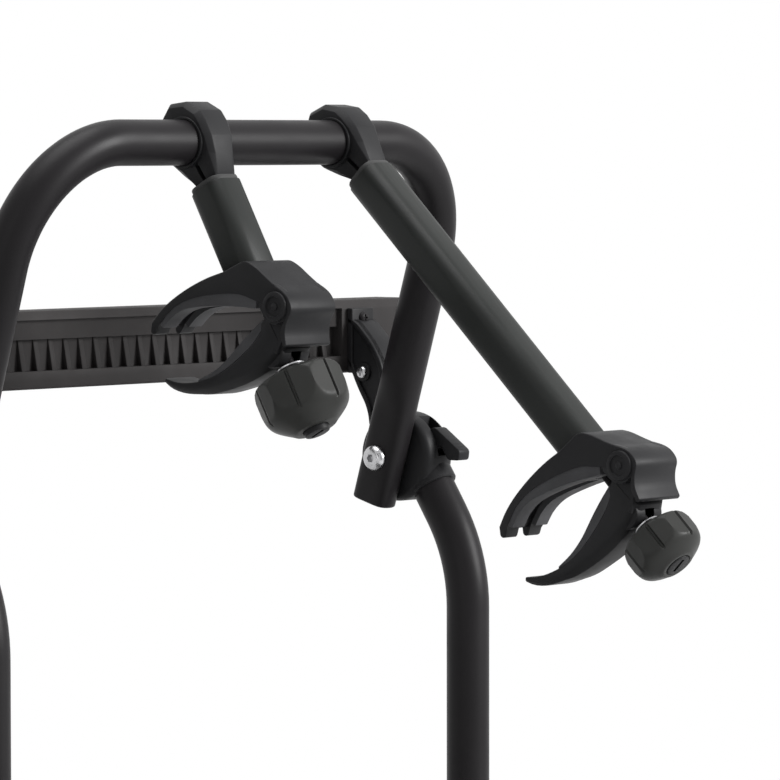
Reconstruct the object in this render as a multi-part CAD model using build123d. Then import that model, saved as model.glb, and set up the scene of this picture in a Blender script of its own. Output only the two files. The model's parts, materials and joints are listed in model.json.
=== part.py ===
from build123d import *
import os
from math import cos, pi, radians, sin, tan

os.makedirs("parts", exist_ok=True)

# Bike carrier: a tube frame with a folding bow, two holding arms and a fold up wheel platform.
# X runs across the vehicle, +Y points to the vehicle and Z is up, all in millimetres.
# Everything is drawn about the hub axis, then moved so that the floor is Z zero
# and the footprint is centred on X zero and Y zero.

# Clearances
turn_gap = 0.05          # radial, between a pin or shaft and its bore
side_gap = 0.2           # between the flat sides of pieces that turn on each other
free_gap = 0.5           # around a piece that only has to pass

# Tubes and bow
tube_d = 30.0
tube_wall = 2.0
bow_half_width = 213.0   # hub bolt plane to the middle, at the leg's axis
bow_height = 231.0       # hub axis to the bar's axis, along the leg
bow_bend = 83.0
bow_lean = 16.6          # degrees, top away from the vehicle
leg_flat = 20.0          # thickness of the flattened leg end
leg_tail = 33.0          # leg end below the hub axis
leg_flat_over = 2.5      # flat above the hub housing's rim
leg_taper = 28.0         # from the flat to the full round
leg_spigot = 20.0

# Hub
hub_height = 510.0       # hub axis above the floor
hub_r = 31.5
hub_depth = 36.0
cover_depth = 8.0
cover_round = 6.0
cover_pocket_r = 11.0
cover_pocket = 6.5
bolt_r = 5.0
bolt_head_r = 9.0
bolt_head = 5.0
nut_across = 17.0
nut_height = 6.0
lever_width = 15.4
lever_pin_r = 2.5
lever_pin_y = -20.0
lever_pin_z = 9.0

# Lower frame
lower_y = -53.0          # upright part of the lower tube, behind the hub axis
lower_turn = 33.0        # degrees, from upright to the hub
lower_top_bend = 120.0
lower_bend = 80.0
lower_start = 18.0       # tube end below the hub's level, along the tube
socket_r = 18.0
socket_length = 38.0
crossbar_height = 27.0   # crossbar's axis above the floor
foot_x = 70.0
foot_length = 40.0
foot_width = 44.0

# Support bar against the vehicle
bar_half_length = 285.0
bar_back = 43.0          # face away from the vehicle, from the hub axis
bar_depth = 30.0
bar_low = 58.0
bar_tall = 52.0
bar_cap = 5.0
bar_lip = 12.0
bar_slope = 6.0
bar_band = 4.0           # depth of the smooth band
bar_pocket = 17.0        # depth of the ribbed zone
bar_pocket_tall = 21.0
bar_block = 218.0        # the bar is full depth beyond this
rib_pitch = 14.6
rib_thick = 3.0
pad_thick = 8.0
pad_tall = 42.0
pad_half_length = 240.0
bracket_width = 24.0
bracket_web = 6.0
bracket_plate = 5.0
screw_r = 4.3

# Holding arms
arm_width = 30.0         # along X
arm_thick = 28.0         # across the arm
arm_round = 9.0
arm_wall = 2.0
liner_wall = 2.0
liner_length = 30.0
clamp_length = 28.0
clamp_top = 30.0         # bar axis to the clamp's top
clamp_neck = 33.0        # bar axis to the clamp's foot
clamp_side = 21.5
clamp_split = 3.0
collar_tall = 7.0
collar_wall = 3.0
spigot_length = 16.0
clamp_screw_r = 2.5
clamp_screw_at = 25.0
clamp_screw_x = 7.5

# Claws, measured down the arm from the jaw pivot and sideways from the arm's axis
pivot_side = -25.0
claw_width = 44.0
claw_tip_width = 37.0
jaw_width = 33.0
jaw_tip_width = 25.0
cheek_r = 12.5
eye_r = 9.5
pivot_r = 4.0
pivot_head_r = 11.0
pivot_head = 1.5
socket_floor = -33.0
notch_width = 11.0
notch_depth = 9.0
pad_inset = 3.0
rod_r = 4.0
rod_slot = 4.8
rod_end = 62.0
rod_head = 6.0
rod_head_width = 14.0
crown_r = 10.5
crown_at = 20.0
washer_r = 11.0
washer_thick = 2.0
knob_r = 29.0
knob_length = 46.0
knob_shoulder = 7.0
knob_flutes = 9
flute_r = 9.0
flute_depth = 3.2
knob_cap_r = 20.0
knob_cap = 3.0
knob_travel = 5.7        # of the knob up the rod as the claw closes

# Each arm: place along the bar, degrees from straight down, bar axis to jaw pivot
arms = {
    "short": (-56.0, 29.0, 134.0),
    "long": (92.0, 46.0, 325.0),
}

# Wheel platform
hinge_inset = 101.2      # hinge middle inwards of the upright tube
hinge_back = 28.0        # hinge pin behind the upright tube
hinge_height = 97.0
hinge_pin_r = 5.0
hinge_plate = 5.0
plate_r = 15.0
beam_width = 25.0
beam_tall = 40.0
beam_wall = 2.0
beam_clear = 15.0        # under the beams
beam_gap = 4.0           # beam end to the crossbar's clamp ring
platform_back = 385.0    # hub axis to the rear face of the beam ends
beam_end = 4.0           # plate of the plastic beam ends
beam_foot = 45.0         # length of the foot under each beam end
cross_tall = 30.0
cross_wide = 25.0
cross_mid_back = 215.0
cross_rear_back = 362.0
tray_half_length = 530.0
tray_width = 62.0
tray_floor_width = 40.0
tray_tall = 35.0
tray_wall = 2.5
tray_cap = 4.0
tray_backs = {"near": 135.0, "far": 295.0}
bracket_pad = 5.0        # between beam and tray

# Bumper rests
rest_height = 190.0
rest_ring = 22.0
rest_tall = 36.0
rest_reach = 62.0
rest_pad = 26.0
rest_pad_wide = 70.0
rest_pad_tall = 56.0

# Worked out from the sizes above
floor = -hub_height
pad_face = bar_back + bar_depth + pad_thick
datum = Location((0, (platform_back - pad_face) / 2, hub_height))
lean = radians(bow_lean)
bar_y = -bow_height * sin(lean)
bar_z = bow_height * cos(lean)
hub_face = bow_half_width + leg_flat / 2 + side_gap
lower_half_width = hub_face + hub_depth / 2
hinge_x = lower_half_width - hinge_inset
hinge_y = lower_y - hinge_back
hinge_z = floor + hinge_height
crossbar_z = floor + crossbar_height
leg_flat_top = hub_r + leg_flat_over
leg_round = leg_flat_top + leg_taper
rod_top = socket_floor - rod_head


def save(name, *solids):
    """Write one node, moved from the hub axis to the part's own origin."""
    placed = [datum * solid for shape in solids for solid in shape.solids()]
    export_step(placed[0] if len(placed) == 1 else Compound(placed), f"parts/{name}.step")


def mirrored(shape):
    return mirror(shape, about=Plane.YZ)


def side_plane(x, y=0.0, z=0.0):
    """A plane that looks along X, with its own x along +Y and its own y up."""
    return Plane(origin=(x, y, z), x_dir=(0, 1, 0), z_dir=(1, 0, 0))


def side_prism(points, x, width):
    """A straight sided piece of the given width along X, centred on x."""
    face = side_plane(x) * make_face(Polyline(*points, close=True))
    return extrude(face, amount=width / 2, both=True)


def x_cylinder(radius, x_from, x_to, y=0.0, z=0.0):
    return extrude(side_plane(x_from, y, z) * Circle(radius), amount=x_to - x_from)


def pipe(path, outer, wall):
    start = Plane(origin=path @ 0, z_dir=path % 0)
    return sweep(start * (Circle(outer / 2) - Circle(outer / 2 - wall)), path=path)


# Bow

bow_plane = Plane(origin=(0, 0, 0), x_dir=(1, 0, 0), z_dir=(0, -cos(lean), -sin(lean)))


def bow_tube():
    """Upper U, which starts where the flattened leg ends stop."""
    low = leg_round + 2
    points = [(-bow_half_width, low), (-bow_half_width, bow_height),
              (bow_half_width, bow_height), (bow_half_width, low)]
    path = bow_plane.location * FilletPolyline(*points, radius=bow_bend)
    return pipe(path, tube_d, tube_wall)


def leg_end():
    """Right leg end: round at the top, pressed flat at the hub bolt, with a spigot in the tube."""
    half = tube_d / 2
    flat = leg_flat / 2
    side = [(-flat, -leg_tail), (flat, -leg_tail), (flat, leg_flat_top), (half, leg_round),
            (half, leg_round + 2), (-half, leg_round + 2), (-half, leg_round), (-flat, leg_flat_top)]
    flats = extrude(make_face(Polyline(*side, close=True)), amount=half, both=True)
    base = Plane(origin=(0, -leg_tail, 0), z_dir=(0, 1, 0))
    round_part = extrude(base * Circle(half), amount=leg_tail + leg_round + 2)
    top = Plane(origin=(0, leg_round + 2, 0), z_dir=(0, 1, 0))
    spigot = extrude(top * Circle(half - tube_wall), amount=leg_spigot)
    bore = extrude(Plane(origin=(-half, 0, 0), z_dir=(1, 0, 0)) * Circle(bolt_r + turn_gap), amount=tube_d)
    end = (flats & round_part) + spigot - bore
    return bow_plane.location * Pos(bow_half_width, 0, 0) * end


# Hub

def lower_route():
    """Centre line of the lower U from its right top end to its left top end."""
    slope = tan(radians(lower_turn))
    knee = -(-lower_y - 8.0) / slope
    start_y = -8.0 - lower_start * sin(radians(lower_turn))
    start_z = -lower_start * cos(radians(lower_turn))
    x = lower_half_width
    points = [(x, start_y, start_z), (x, lower_y, knee), (x, lower_y, crossbar_z),
              (-x, lower_y, crossbar_z), (-x, lower_y, knee), (-x, start_y, start_z)]
    return points


def lower_tube():
    bends = [lower_top_bend, lower_bend, lower_bend, lower_top_bend]
    path = FilletPolyline(*lower_route(), radius=bends)
    return pipe(path, tube_d, tube_wall)


def lower_socket(radius, length):
    """A round bar along the tube's sloping top, from the hub's level down."""
    turn = radians(lower_turn)
    start = Plane(origin=(lower_half_width, -8.0, 0), z_dir=(0, -sin(turn), -cos(turn)))
    return extrude(start * Circle(radius), amount=length)


def hub_housing():
    drum = x_cylinder(hub_r, hub_face, hub_face + hub_depth)
    drum = chamfer(drum.edges().sort_by(Axis.X)[0], 1.5)
    socket = lower_socket(socket_r, socket_length) & side_prism(
        [(-80, -80), (80, -80), (80, 20), (-80, 20)], hub_face + hub_depth / 2, hub_depth)
    body = drum + socket
    turn = radians(lower_turn)
    tube_top = Plane(origin=(lower_half_width, -8.0 - lower_start * sin(turn), -lower_start * cos(turn)),
                     z_dir=(0, -sin(turn), -cos(turn)))
    body -= extrude(tube_top * Circle(tube_d / 2), amount=socket_length)
    body -= x_cylinder(bolt_r + turn_gap, hub_face - 1, hub_face + hub_depth + 1)
    slot = [(-13.5, 2), (-40, -6), (-40, 30), (-13.5, 30)]
    body -= side_prism(slot, hub_face + hub_depth / 2, lever_width + 2 * side_gap)
    body -= x_cylinder(lever_pin_r, hub_face + 4, hub_face + hub_depth - 4, lever_pin_y, lever_pin_z)
    return body


def hub_cover():
    """Domed outer shell over the nut."""
    inner = hub_face + hub_depth
    dome = fillet(x_cylinder(hub_r, inner, inner + cover_depth).edges().sort_by(Axis.X)[-1], cover_round)
    return dome - x_cylinder(cover_pocket_r, inner, inner + cover_pocket)


def hub_bolt():
    """Button head bolt on the inner side of the leg, through leg and housing."""
    inner = bow_half_width - leg_flat / 2 - side_gap
    shank = x_cylinder(bolt_r, inner, hub_face + hub_depth + nut_height)
    head = x_cylinder(bolt_head_r, inner - bolt_head, inner)
    head = fillet(head.edges().sort_by(Axis.X)[0], bolt_head - 1)
    recess = side_plane(inner - bolt_head) * RegularPolygon(2.9, 6)
    return shank + head - extrude(recess, amount=2.5)


def hub_nut():
    inner = hub_face + hub_depth
    nut = side_plane(inner) * (RegularPolygon(nut_across / 2, 6, major_radius=False) - Circle(bolt_r))
    return extrude(nut, amount=nut_height)


def hub_lever():
    """Release lever that stands out of the housing's back, with its eye on the pin."""
    outline = [(-16, 13), (-24.8, 20.8), (-28.4, 20.9), (-50.2, 5.5), (-49.2, -1.6),
               (-39.3, -1.6), (-32.9, 8), (-24, 5), (-19, 4)]
    lever = side_prism(outline, hub_face + hub_depth / 2, lever_width)
    lever -= x_cylinder(lever_pin_r + turn_gap, hub_face, hub_face + hub_depth, lever_pin_y, lever_pin_z)
    corner = lever.edges().filter_by(Axis.X).sort_by(Axis.Y)[:2]
    return fillet(corner, 2.0)


def lever_pin():
    return x_cylinder(lever_pin_r, hub_face + 4, hub_face + hub_depth - 4, lever_pin_y, lever_pin_z)


# Support bar

bar_top = bar_low + bar_tall
bar_front = bar_back + bar_depth


def bar_section():
    return [(bar_back + bar_slope / 2, bar_top), (bar_front, bar_top), (bar_front, bar_low),
            (bar_back, bar_low), (bar_back, bar_top - bar_slope)]


def support_bar():
    """Moulded beam with a smooth band, a row of gussets and a lower lip on its back."""
    bar = side_prism(bar_section(), 0, 2 * bar_half_length)
    pocket_low = bar_low + bar_lip
    pocket_top = pocket_low + bar_pocket_tall
    pocket_face = bar_back + bar_pocket
    band = [(bar_back - 1, pocket_low), (bar_back + bar_band, pocket_low),
            (bar_back + bar_band, bar_top - bar_slope), (bar_back - 1, bar_top - bar_slope)]
    pocket = [(bar_back - 1, pocket_low), (pocket_face, pocket_low),
              (pocket_face, pocket_top), (bar_back - 1, pocket_top)]
    bar -= side_prism(band, 0, 2 * bar_block)
    bar -= side_prism(pocket, 0, 2 * bar_block)
    rib = [(pocket_face, pocket_low), (bar_back + bar_band, pocket_low),
           (bar_back + bar_band + 7, pocket_top), (pocket_face, pocket_top)]
    side_count = int((bar_block - rib_thick) / rib_pitch)
    ribs = [side_prism(rib, i * rib_pitch, rib_thick) for i in range(-side_count, side_count + 1)]
    bar += ribs
    for side in (-1, 1):
        for z in (bar_low + 6, bar_top - 13):
            hole = Plane(origin=(side * lower_half_width, bar_back, z), z_dir=(0, 1, 0)) * Circle(2.0)
            bar -= extrude(hole, amount=14)
    return bar


def bar_pad():
    """Rubber facing on the vehicle's side, with three long grooves."""
    middle = bar_low + bar_tall / 2
    half = pad_tall / 2
    face = side_plane(0, bar_front, middle) * Pos(pad_thick / 2, 0) * Rectangle(pad_thick, 2 * half)
    pad = extrude(face, amount=pad_half_length, both=True)
    pad = fillet(pad.edges().filter_by(Axis.X).sort_by(Axis.Y)[-2:], 3.0)
    for step in (-1, 0, 1):
        z = middle + step * half / 2
        pad -= side_prism([(pad_face - 2, z - 1.5), (pad_face + 1, z - 2.5),
                           (pad_face + 1, z + 2.5), (pad_face - 2, z + 1.5)], 0, 2 * pad_half_length + 2)
    return pad


def bar_end_cap():
    cap = side_prism(bar_section(), bar_half_length + bar_cap / 2, bar_cap)
    outer = cap.faces().sort_by(Axis.X)[-1]
    return chamfer(outer.edges(), 1.5)


def bar_bracket():
    """Arm from the hub housing up to the support bar: back plate, web and a ridge flange."""
    x = lower_half_width
    plate = side_prism([(bar_back - bracket_plate, bar_low), (bar_back, bar_low),
                        (bar_back, bar_top - bar_slope), (bar_back - bracket_plate, bar_top - bar_slope)],
                       x, bracket_width)
    web = [(-6, 20), (26, 10), (34, 29.7), (40, 42), (bar_back, bar_low), (bar_back - 1, 96), (34, 92),
           (22, 62), (4, 40)]
    arm = side_prism(web, x, bracket_web)
    ridge = [(-8, 26), (4, 36), (22, 58), (34, 88), (bar_back - 1, 92), (bar_back - 1, 97), (31, 93),
             (18.5, 63), (1, 42), (-10, 33)]
    arm += side_prism(ridge, x, bracket_width)
    toe = [(20, 12), (30, 8), (38, 29), (bar_back, 50), (bar_back, 58), (bar_back - 4, 58), (33, 34)]
    arm += side_prism(toe, x, bracket_width)
    arm -= side_prism([(26, 58), (37, 60), (37, 84)], x, bracket_web + 2)
    arm += plate
    arm -= x_cylinder(hub_r, hub_face - 20, hub_face + hub_depth + 20)
    for z in (bar_low + 6, bar_top - 13):
        hole = Plane(origin=(x, bar_back - 20, z), z_dir=(0, 1, 0)) * Circle(2.0)
        arm -= extrude(hole, amount=21)
    access = Plane(origin=(x, -30, bar_low + 6), z_dir=(0, 1, 0)) * Circle(screw_r + free_gap)
    arm -= extrude(access, amount=30 + bar_back - bracket_plate)
    access = Plane(origin=(x, -30, bar_top - 13), z_dir=(0, 1, 0)) * Circle(screw_r + free_gap)
    arm -= extrude(access, amount=30 + bar_back - bracket_plate)
    return arm


def bar_screw(side, z):
    """Round head screw that holds the bracket to the bar."""
    seat = Plane(origin=(side * lower_half_width, bar_back - bracket_plate, z), z_dir=(0, -1, 0))
    head = extrude(seat * Circle(screw_r), amount=2.6)
    head = fillet(head.edges().sort_by(Axis.Y)[0], 1.6)
    cross = seat.offset(2.6) * (Rectangle(4.4, 1.2) + Rectangle(1.2, 4.4))
    head -= extrude(cross, amount=-1.2)
    return head + extrude(seat * Circle(2.0), amount=-(bracket_plate + 12))


# Lower frame fittings

def floor_foot(x):
    """Rubber saddle under the crossbar."""
    half = foot_width / 2
    sides = [(lower_y - half, floor), (lower_y + half, floor), (lower_y + half - 3, crossbar_z),
             (lower_y - half + 3, crossbar_z)]
    foot = side_prism(sides, x, foot_length)
    return foot - x_cylinder(tube_d / 2, x - foot_length, x + foot_length, lower_y, crossbar_z)


def bumper_bracket():
    """Clamp block round the upright tube with a plate that carries the pad."""
    z = floor + rest_height
    low = Plane(origin=(lower_half_width, lower_y, z - rest_tall / 2))
    ring = extrude(low * RectangleRounded(2 * rest_ring, 2 * rest_ring, 8), amount=rest_tall)
    ring -= extrude(low * Circle(tube_d / 2), amount=rest_tall)
    neck_length = rest_reach - rest_ring
    neck = Pos(lower_half_width, lower_y + rest_ring + neck_length / 2, z) * Box(26, neck_length, 22)
    plate = Pos(lower_half_width, lower_y + rest_reach, z) * Box(rest_pad_wide - 10, 6, rest_pad_tall - 10)
    return ring + neck + plate


def bumper_pad():
    z = floor + rest_height
    y = lower_y + rest_reach + 3 + rest_pad / 2
    pad = Pos(lower_half_width, y, z) * Box(rest_pad_wide, rest_pad, rest_pad_tall)
    front = pad.faces().sort_by(Axis.Y)[-1]
    return fillet(front.edges(), 8.0)


def bumper_screw():
    """Clamp screw across the block, behind the tube."""
    z = floor + rest_height
    y = lower_y - rest_ring
    seat = Plane(origin=(lower_half_width, y, z), z_dir=(0, -1, 0))
    return extrude(seat * RegularPolygon(6.5, 6), amount=5)


def plate_outline():
    """Hinge plate: a ring on the crossbar joined to an eye at the hinge pin."""
    eye = Pos(hinge_y, hinge_z) * Circle(plate_r)
    ring = Pos(lower_y, crossbar_z) * Circle(tube_d / 2 + 6)
    rise = hinge_z - crossbar_z
    run = hinge_y - lower_y
    web = [(lower_y - 20, crossbar_z + 6), (lower_y + 20, crossbar_z + 6),
           (hinge_y + plate_r, hinge_z + 1), (hinge_y - plate_r, hinge_z + 1)]
    lightening = Pos(lower_y + run * 0.52, crossbar_z + rise * 0.52) * Circle(7)
    shape = eye + ring + make_face(Polyline(*web, close=True))
    return shape - lightening - Pos(lower_y, crossbar_z) * Circle(tube_d / 2)


def hinge_bracket(x):
    """Two plates and the ring between them, clamped on the crossbar."""
    inner = beam_width / 2 + side_gap
    plates = []
    for side in (-1, 1):
        start = side_plane(x + side * inner)
        plates.append(extrude(start * plate_outline(), amount=side * hinge_plate))
    ring_face = Circle(tube_d / 2 + 3) - Circle(tube_d / 2)
    ring = extrude(side_plane(x, lower_y, crossbar_z) * ring_face, amount=inner, both=True)
    bracket = plates[0] + plates[1] + ring
    return bracket - x_cylinder(hinge_pin_r, x - 40, x + 40, hinge_y, hinge_z)


def hinge_pin(x):
    reach = beam_width / 2 + side_gap + hinge_plate
    shank = x_cylinder(hinge_pin_r, x - reach, x + reach, hinge_y, hinge_z)
    head = x_cylinder(hinge_pin_r + 3, x + reach, x + reach + 3, hinge_y, hinge_z)
    clip = x_cylinder(hinge_pin_r + 2, x - reach - 2, x - reach, hinge_y, hinge_z)
    return shank + head + clip


# Holding arms, drawn down the arm from the bar's axis:
# local x runs down the arm, local y across it towards the vehicle and local z along X

def arm_place(name):
    x, angle, reach = arms[name]
    turn = radians(angle)
    return Plane(origin=(x, bar_y, bar_z), x_dir=(0, -sin(turn), -cos(turn)), z_dir=(1, 0, 0)).location


def claw_place(name):
    return arm_place(name) * Pos(arms[name][2], 0, 0)


def prism(points, width):
    return extrude(make_face(Polyline(*points, close=True)), amount=width / 2, both=True)


def bar_liner():
    """Plastic bush that slides on the bar inside the clamp."""
    inner = tube_d / 2 + turn_gap
    ring = Circle(inner + liner_wall) - Circle(inner)
    return extrude(ring, amount=liner_length / 2, both=True)


def arm_section(grow=0.0):
    round_r = arm_round + grow
    return Plane.YZ * RectangleRounded(arm_thick + 2 * grow, arm_width + 2 * grow, round_r)


def clamp_half(side):
    """One half of the faceted clamp. Side is -1 away from the vehicle and 1 towards it."""
    bore = tube_d / 2 + liner_wall + 2 * turn_gap
    if side < 0:
        outline = [(-clamp_top, 0), (-clamp_top + 7, -14), (-13, -clamp_side + 1), (-3, -clamp_side),
                   (17, -clamp_side + 3), (clamp_neck, -arm_thick / 2 - 1), (clamp_neck, -clamp_split)]
        split = [(0, -clamp_split), (0, 0)]
    else:
        outline = [(-clamp_top, 0), (-clamp_top + 6, 10), (-12, clamp_side - 3), (4, clamp_side - 3),
                   (18, clamp_side - 6), (clamp_neck, arm_thick / 2 + 1), (clamp_neck, 0)]
        split = [(0, 0)]
    half = prism(outline + split, clamp_length)
    half -= extrude(Circle(bore), amount=clamp_length, both=True)
    rim = [edge for edge in half.edges() if edge.center().X < -clamp_top + 8
           and abs(edge.center().Z) > clamp_length / 2 - 1 and abs(edge.center().Y) > 1]
    half = chamfer(rim, 4.0)
    inner = arm_wall + free_gap / 2
    plug = RectangleRounded(arm_thick - 2 * inner, arm_width - 2 * inner, arm_round - arm_wall)
    spigot = extrude(Plane.YZ.offset(clamp_neck) * plug, amount=spigot_length)
    gap = clamp_split if side < 0 else 0
    keep = Pos(clamp_neck, side * (arm_thick / 2 + gap), 0) * Box(80, arm_thick, arm_width)
    half += spigot & keep
    for z in (-clamp_screw_x, clamp_screw_x):
        line = Plane(origin=(clamp_screw_at, -13, z), z_dir=(0, 1, 0))
        half -= extrude(line * Circle(clamp_screw_r), amount=40)
        seat = Plane(origin=(clamp_screw_at, arm_thick / 2 - 4, z), z_dir=(0, 1, 0))
        half -= extrude(seat * Circle(clamp_screw_r + 2.2), amount=20)
    return half


def clamp_screw(z):
    """Socket head screw that pulls the clamp halves together."""
    line = Plane(origin=(clamp_screw_at, -13, z), z_dir=(0, 1, 0))
    shank = extrude(line * Circle(clamp_screw_r), amount=13 + arm_thick / 2 - 4)
    seat = Plane(origin=(clamp_screw_at, arm_thick / 2 - 4, z), z_dir=(0, 1, 0))
    head = extrude(seat * Circle(clamp_screw_r + 2), amount=3.2)
    head -= extrude(seat.offset(3.2) * RegularPolygon(2.2, 6), amount=-1.8)
    return shank + head


def arm_collar():
    """Light lip round the top of the arm tube."""
    start = Plane(origin=(clamp_neck, 0, 0))
    face = arm_section(collar_wall) - arm_section()
    collar = start.location * extrude(face, amount=collar_tall)
    return chamfer(collar.faces().sort_by(Axis.X)[-1].outer_wire().edges(), 1.2)


def arm_tube(reach):
    face = arm_section() - Plane.YZ * RectangleRounded(
        arm_thick - 2 * arm_wall, arm_width - 2 * arm_wall, arm_round - arm_wall)
    length = reach + socket_floor - clamp_neck
    return Pos(clamp_neck, 0, 0) * extrude(face, amount=length)


# Claws: the pivot is at (0, pivot_side), and the arm and the rod lie on local y zero

def width_wedge(root, tip, root_at=15.0, tip_at=86.0):
    """Plan view of a jaw: full width at the root and narrower at the tip."""
    plan = [(-60, -root / 2), (root_at, -root / 2), (tip_at, -tip / 2),
            (tip_at, tip / 2), (root_at, root / 2), (-60, root / 2)]
    face = Plane.YZ * make_face(Polyline(*plan, close=True))
    return extrude(face, amount=120, both=True)


def upper_inner():
    """Line between the fixed jaw and its pad."""
    return Spline((-11, -12), (-22.5, 0), (-33.5, 22), (-40.5, 43), (-41.5, 58), (-38, 72))


def upper_face():
    """Working face of the fixed jaw's pad."""
    return Spline((-7, -9), (-18.5, 9.5), (-28.5, 28.5), (-36, 47), (-37, 60), (-34.5, 70))


def lower_inner():
    """Line between the moving jaw and its pad."""
    return Spline((3, -6), (8.5, 6), (11.5, 22), (12.5, 40), (11, 54), (8.4, 64))


def lower_face():
    """Working face of the moving jaw's pad."""
    return Spline((0, -6), (2, 7), (4.6, 20), (8, 36), (8.8, 50), (7.6, 62))


def claw_body():
    """Fixed jaw, cheeks beside the pivot, the shell behind it and the arm's socket."""
    inner = upper_inner()
    outer = ThreePointArc((-42.5, 78), (-47.5, 42), (-41, 3))
    jaw_line = inner + Polyline((-38, 72), (-33.5, 80), (-37, 82.5), (-42.5, 78)) + outer
    back = [(-41, 3), (-39, -16), (-31, -22), (-18, -28), (-8, -33.5), (-6, -31), (-5, -15), (-11, -12)]
    solid = make_face(jaw_line + Polyline(*back))
    jaw = extrude(solid, amount=claw_width / 2, both=True) & width_wedge(claw_width, claw_tip_width)
    jaw -= Pos(0, pivot_side) * extrude(Circle(eye_r + free_gap), amount=claw_width / 2, both=True)
    cheek = Pos(0, pivot_side) * Circle(cheek_r)
    cheek += make_face(Polyline((-14, -27), (-4, -37), (6, -36), (0, -13), (-12, -13), close=True))
    plate = extrude(cheek, amount=claw_width / 2, both=True)
    plate -= extrude(Rectangle(200, 200), amount=jaw_width / 2 + side_gap, both=True)
    shell = Spline((-8, -33.5), (-3, -36.8), (2, -38), (8.5, -35), (12, -29), (18, -23.5), (26, -20.5))
    inside = Polyline((26, -20.5), (26, -17.5), (17, -20), (9.6, -27))
    eye = ThreePointArc((9.6, -27), (2, -35.1), (-8, -31))
    back_shell = make_face(shell + inside + eye + Line((-8, -31), (-8, -33.5)))
    back_shell = extrude(back_shell, amount=claw_width / 2, both=True)
    body = jaw + plate + back_shell
    socket = Pos(-80, 0, 0) * extrude(arm_section(), amount=80 + socket_floor)
    body -= socket
    body -= extrude(Plane.YZ.offset(socket_floor - 1) * Circle(rod_r), amount=40)
    body -= Pos(0, pivot_side) * extrude(Circle(pivot_r), amount=claw_width, both=True)
    body -= Pos(-37, 82.5 - notch_depth / 2 + 2, 0) * Box(20, notch_depth + 4, notch_width)
    return body


def claw_pad():
    """Soft pad of the fixed jaw, slotted for the rod."""
    ends = Line((-38, 72), (-34.5, 70)) + Line((-7, -9), (-11, -12))
    face = make_face(upper_inner() + upper_face() + ends)
    width = claw_tip_width - 2 * pad_inset
    pad = extrude(face, amount=width / 2, both=True)
    pad &= width_wedge(claw_width, claw_tip_width)
    return pad - Pos(-20, -3, 0) * Box(60, 18, 2 * rod_slot)


def pivot_bolt():
    """Pivot with a wide flat head on each cheek."""
    shank = extrude(Circle(pivot_r), amount=claw_width / 2, both=True)
    bolt = Part() + shank
    for side in (-1, 1):
        head = extrude(Plane.XY.offset(side * claw_width / 2) * Circle(pivot_head_r), amount=side * pivot_head)
        bolt += head
    return Pos(0, pivot_side) * bolt


def lower_jaw():
    """Moving jaw: eye, curved beam, rod slot and the crown that the washer bears on."""
    outer = Spline((2.5, 86), (12, 76), (21, 57.5), (27.5, 33), (29, 12), (26, -4))
    line = lower_inner() + Line((8.4, 64), (7.6, 62)) + Spline((7.6, 62), (4.5, 73), (-3.6, 87))
    line += Line((-3.6, 87), (2.5, 86)) + outer
    line += Polyline((26, -4), (18, -13), (11, -18), (6, -17), (-2, -16), (-1, -9), (3, -6))
    jaw = extrude(make_face(line), amount=jaw_width / 2, both=True) & width_wedge(jaw_width, jaw_tip_width)
    jaw += Pos(0, pivot_side) * extrude(Circle(eye_r), amount=jaw_width / 2, both=True)
    neck = [(-6, -19), (8, -30), (12, -18), (0, -12)]
    jaw += prism(neck, jaw_width) & Pos(0, pivot_side) * extrude(Circle(20), amount=jaw_width, both=True)
    jaw += Pos(crown_at, 0) * extrude(Circle(crown_r), amount=jaw_width / 2 - 3, both=True)
    slot = [(-12, -5), (3, -5), (34, -12), (34, 8), (3, 5.3), (-12, 5.3)]
    jaw -= prism(slot, 2 * rod_slot)
    jaw -= Pos(0, pivot_side) * extrude(Circle(pivot_r + turn_gap), amount=claw_width, both=True)
    return jaw


def lower_pad():
    ends = Line((8.4, 64), (7.6, 62)) + Line((0, -6), (3, -6))
    face = make_face(lower_inner() + lower_face() + ends)
    width = jaw_tip_width - pad_inset
    pad = extrude(face, amount=width / 2, both=True)
    return pad - Pos(4, -2, 0) * Box(40, 16, 2 * rod_slot)


def jaw_rod():
    """Threaded rod on the arm's axis, with a square head in the arm tube."""
    rod = extrude(Plane.YZ.offset(rod_top) * Circle(rod_r), amount=rod_end - rod_top)
    head = Plane.YZ.offset(rod_top) * Rectangle(rod_head_width, rod_head_width)
    return rod + extrude(head, amount=rod_head)


washer_at = crown_at + crown_r + 0.3
knob_at = washer_at + washer_thick + side_gap
knob_bore = rod_end + knob_travel + free_gap - knob_at


def knob_washer():
    ring = Circle(washer_r) - Circle(rod_r + turn_gap)
    return extrude(Plane.YZ.offset(washer_at) * ring, amount=washer_thick)


def knob():
    """Fluted knob with a rounded shoulder and a recess for its end cap."""
    face = Circle(knob_r)
    for i in range(knob_flutes):
        out = knob_r + flute_r - flute_depth
        turn = 2 * pi * i / knob_flutes
        face -= Pos(out * cos(turn), out * sin(turn)) * Circle(flute_r)
    grip = extrude(Plane.YZ.offset(knob_at) * face, amount=knob_length)
    half = [(0, 0), (0, 17), (knob_shoulder, knob_r + 1), (knob_length - 4, knob_r + 1),
            (knob_length, knob_r - 3), (knob_length, 0)]
    turned = revolve(make_face(Polyline(*half, close=True)), axis=Axis.X)
    grip &= Pos(knob_at, 0, 0) * turned
    end = Plane.YZ.offset(knob_at + knob_length)
    grip -= extrude(end * Circle(knob_cap_r), amount=-knob_cap)
    grip -= extrude(Plane.YZ.offset(knob_at) * Circle(rod_r + turn_gap), amount=knob_bore)
    return grip


def knob_end_cap():
    end = Plane.YZ.offset(knob_at + knob_length)
    disc = extrude(end * Circle(knob_cap_r), amount=-knob_cap)
    return disc - extrude(end * Pos(knob_cap_r - 5, 0) * Rectangle(8, 5), amount=-1.5)


# Wheel platform

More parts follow.
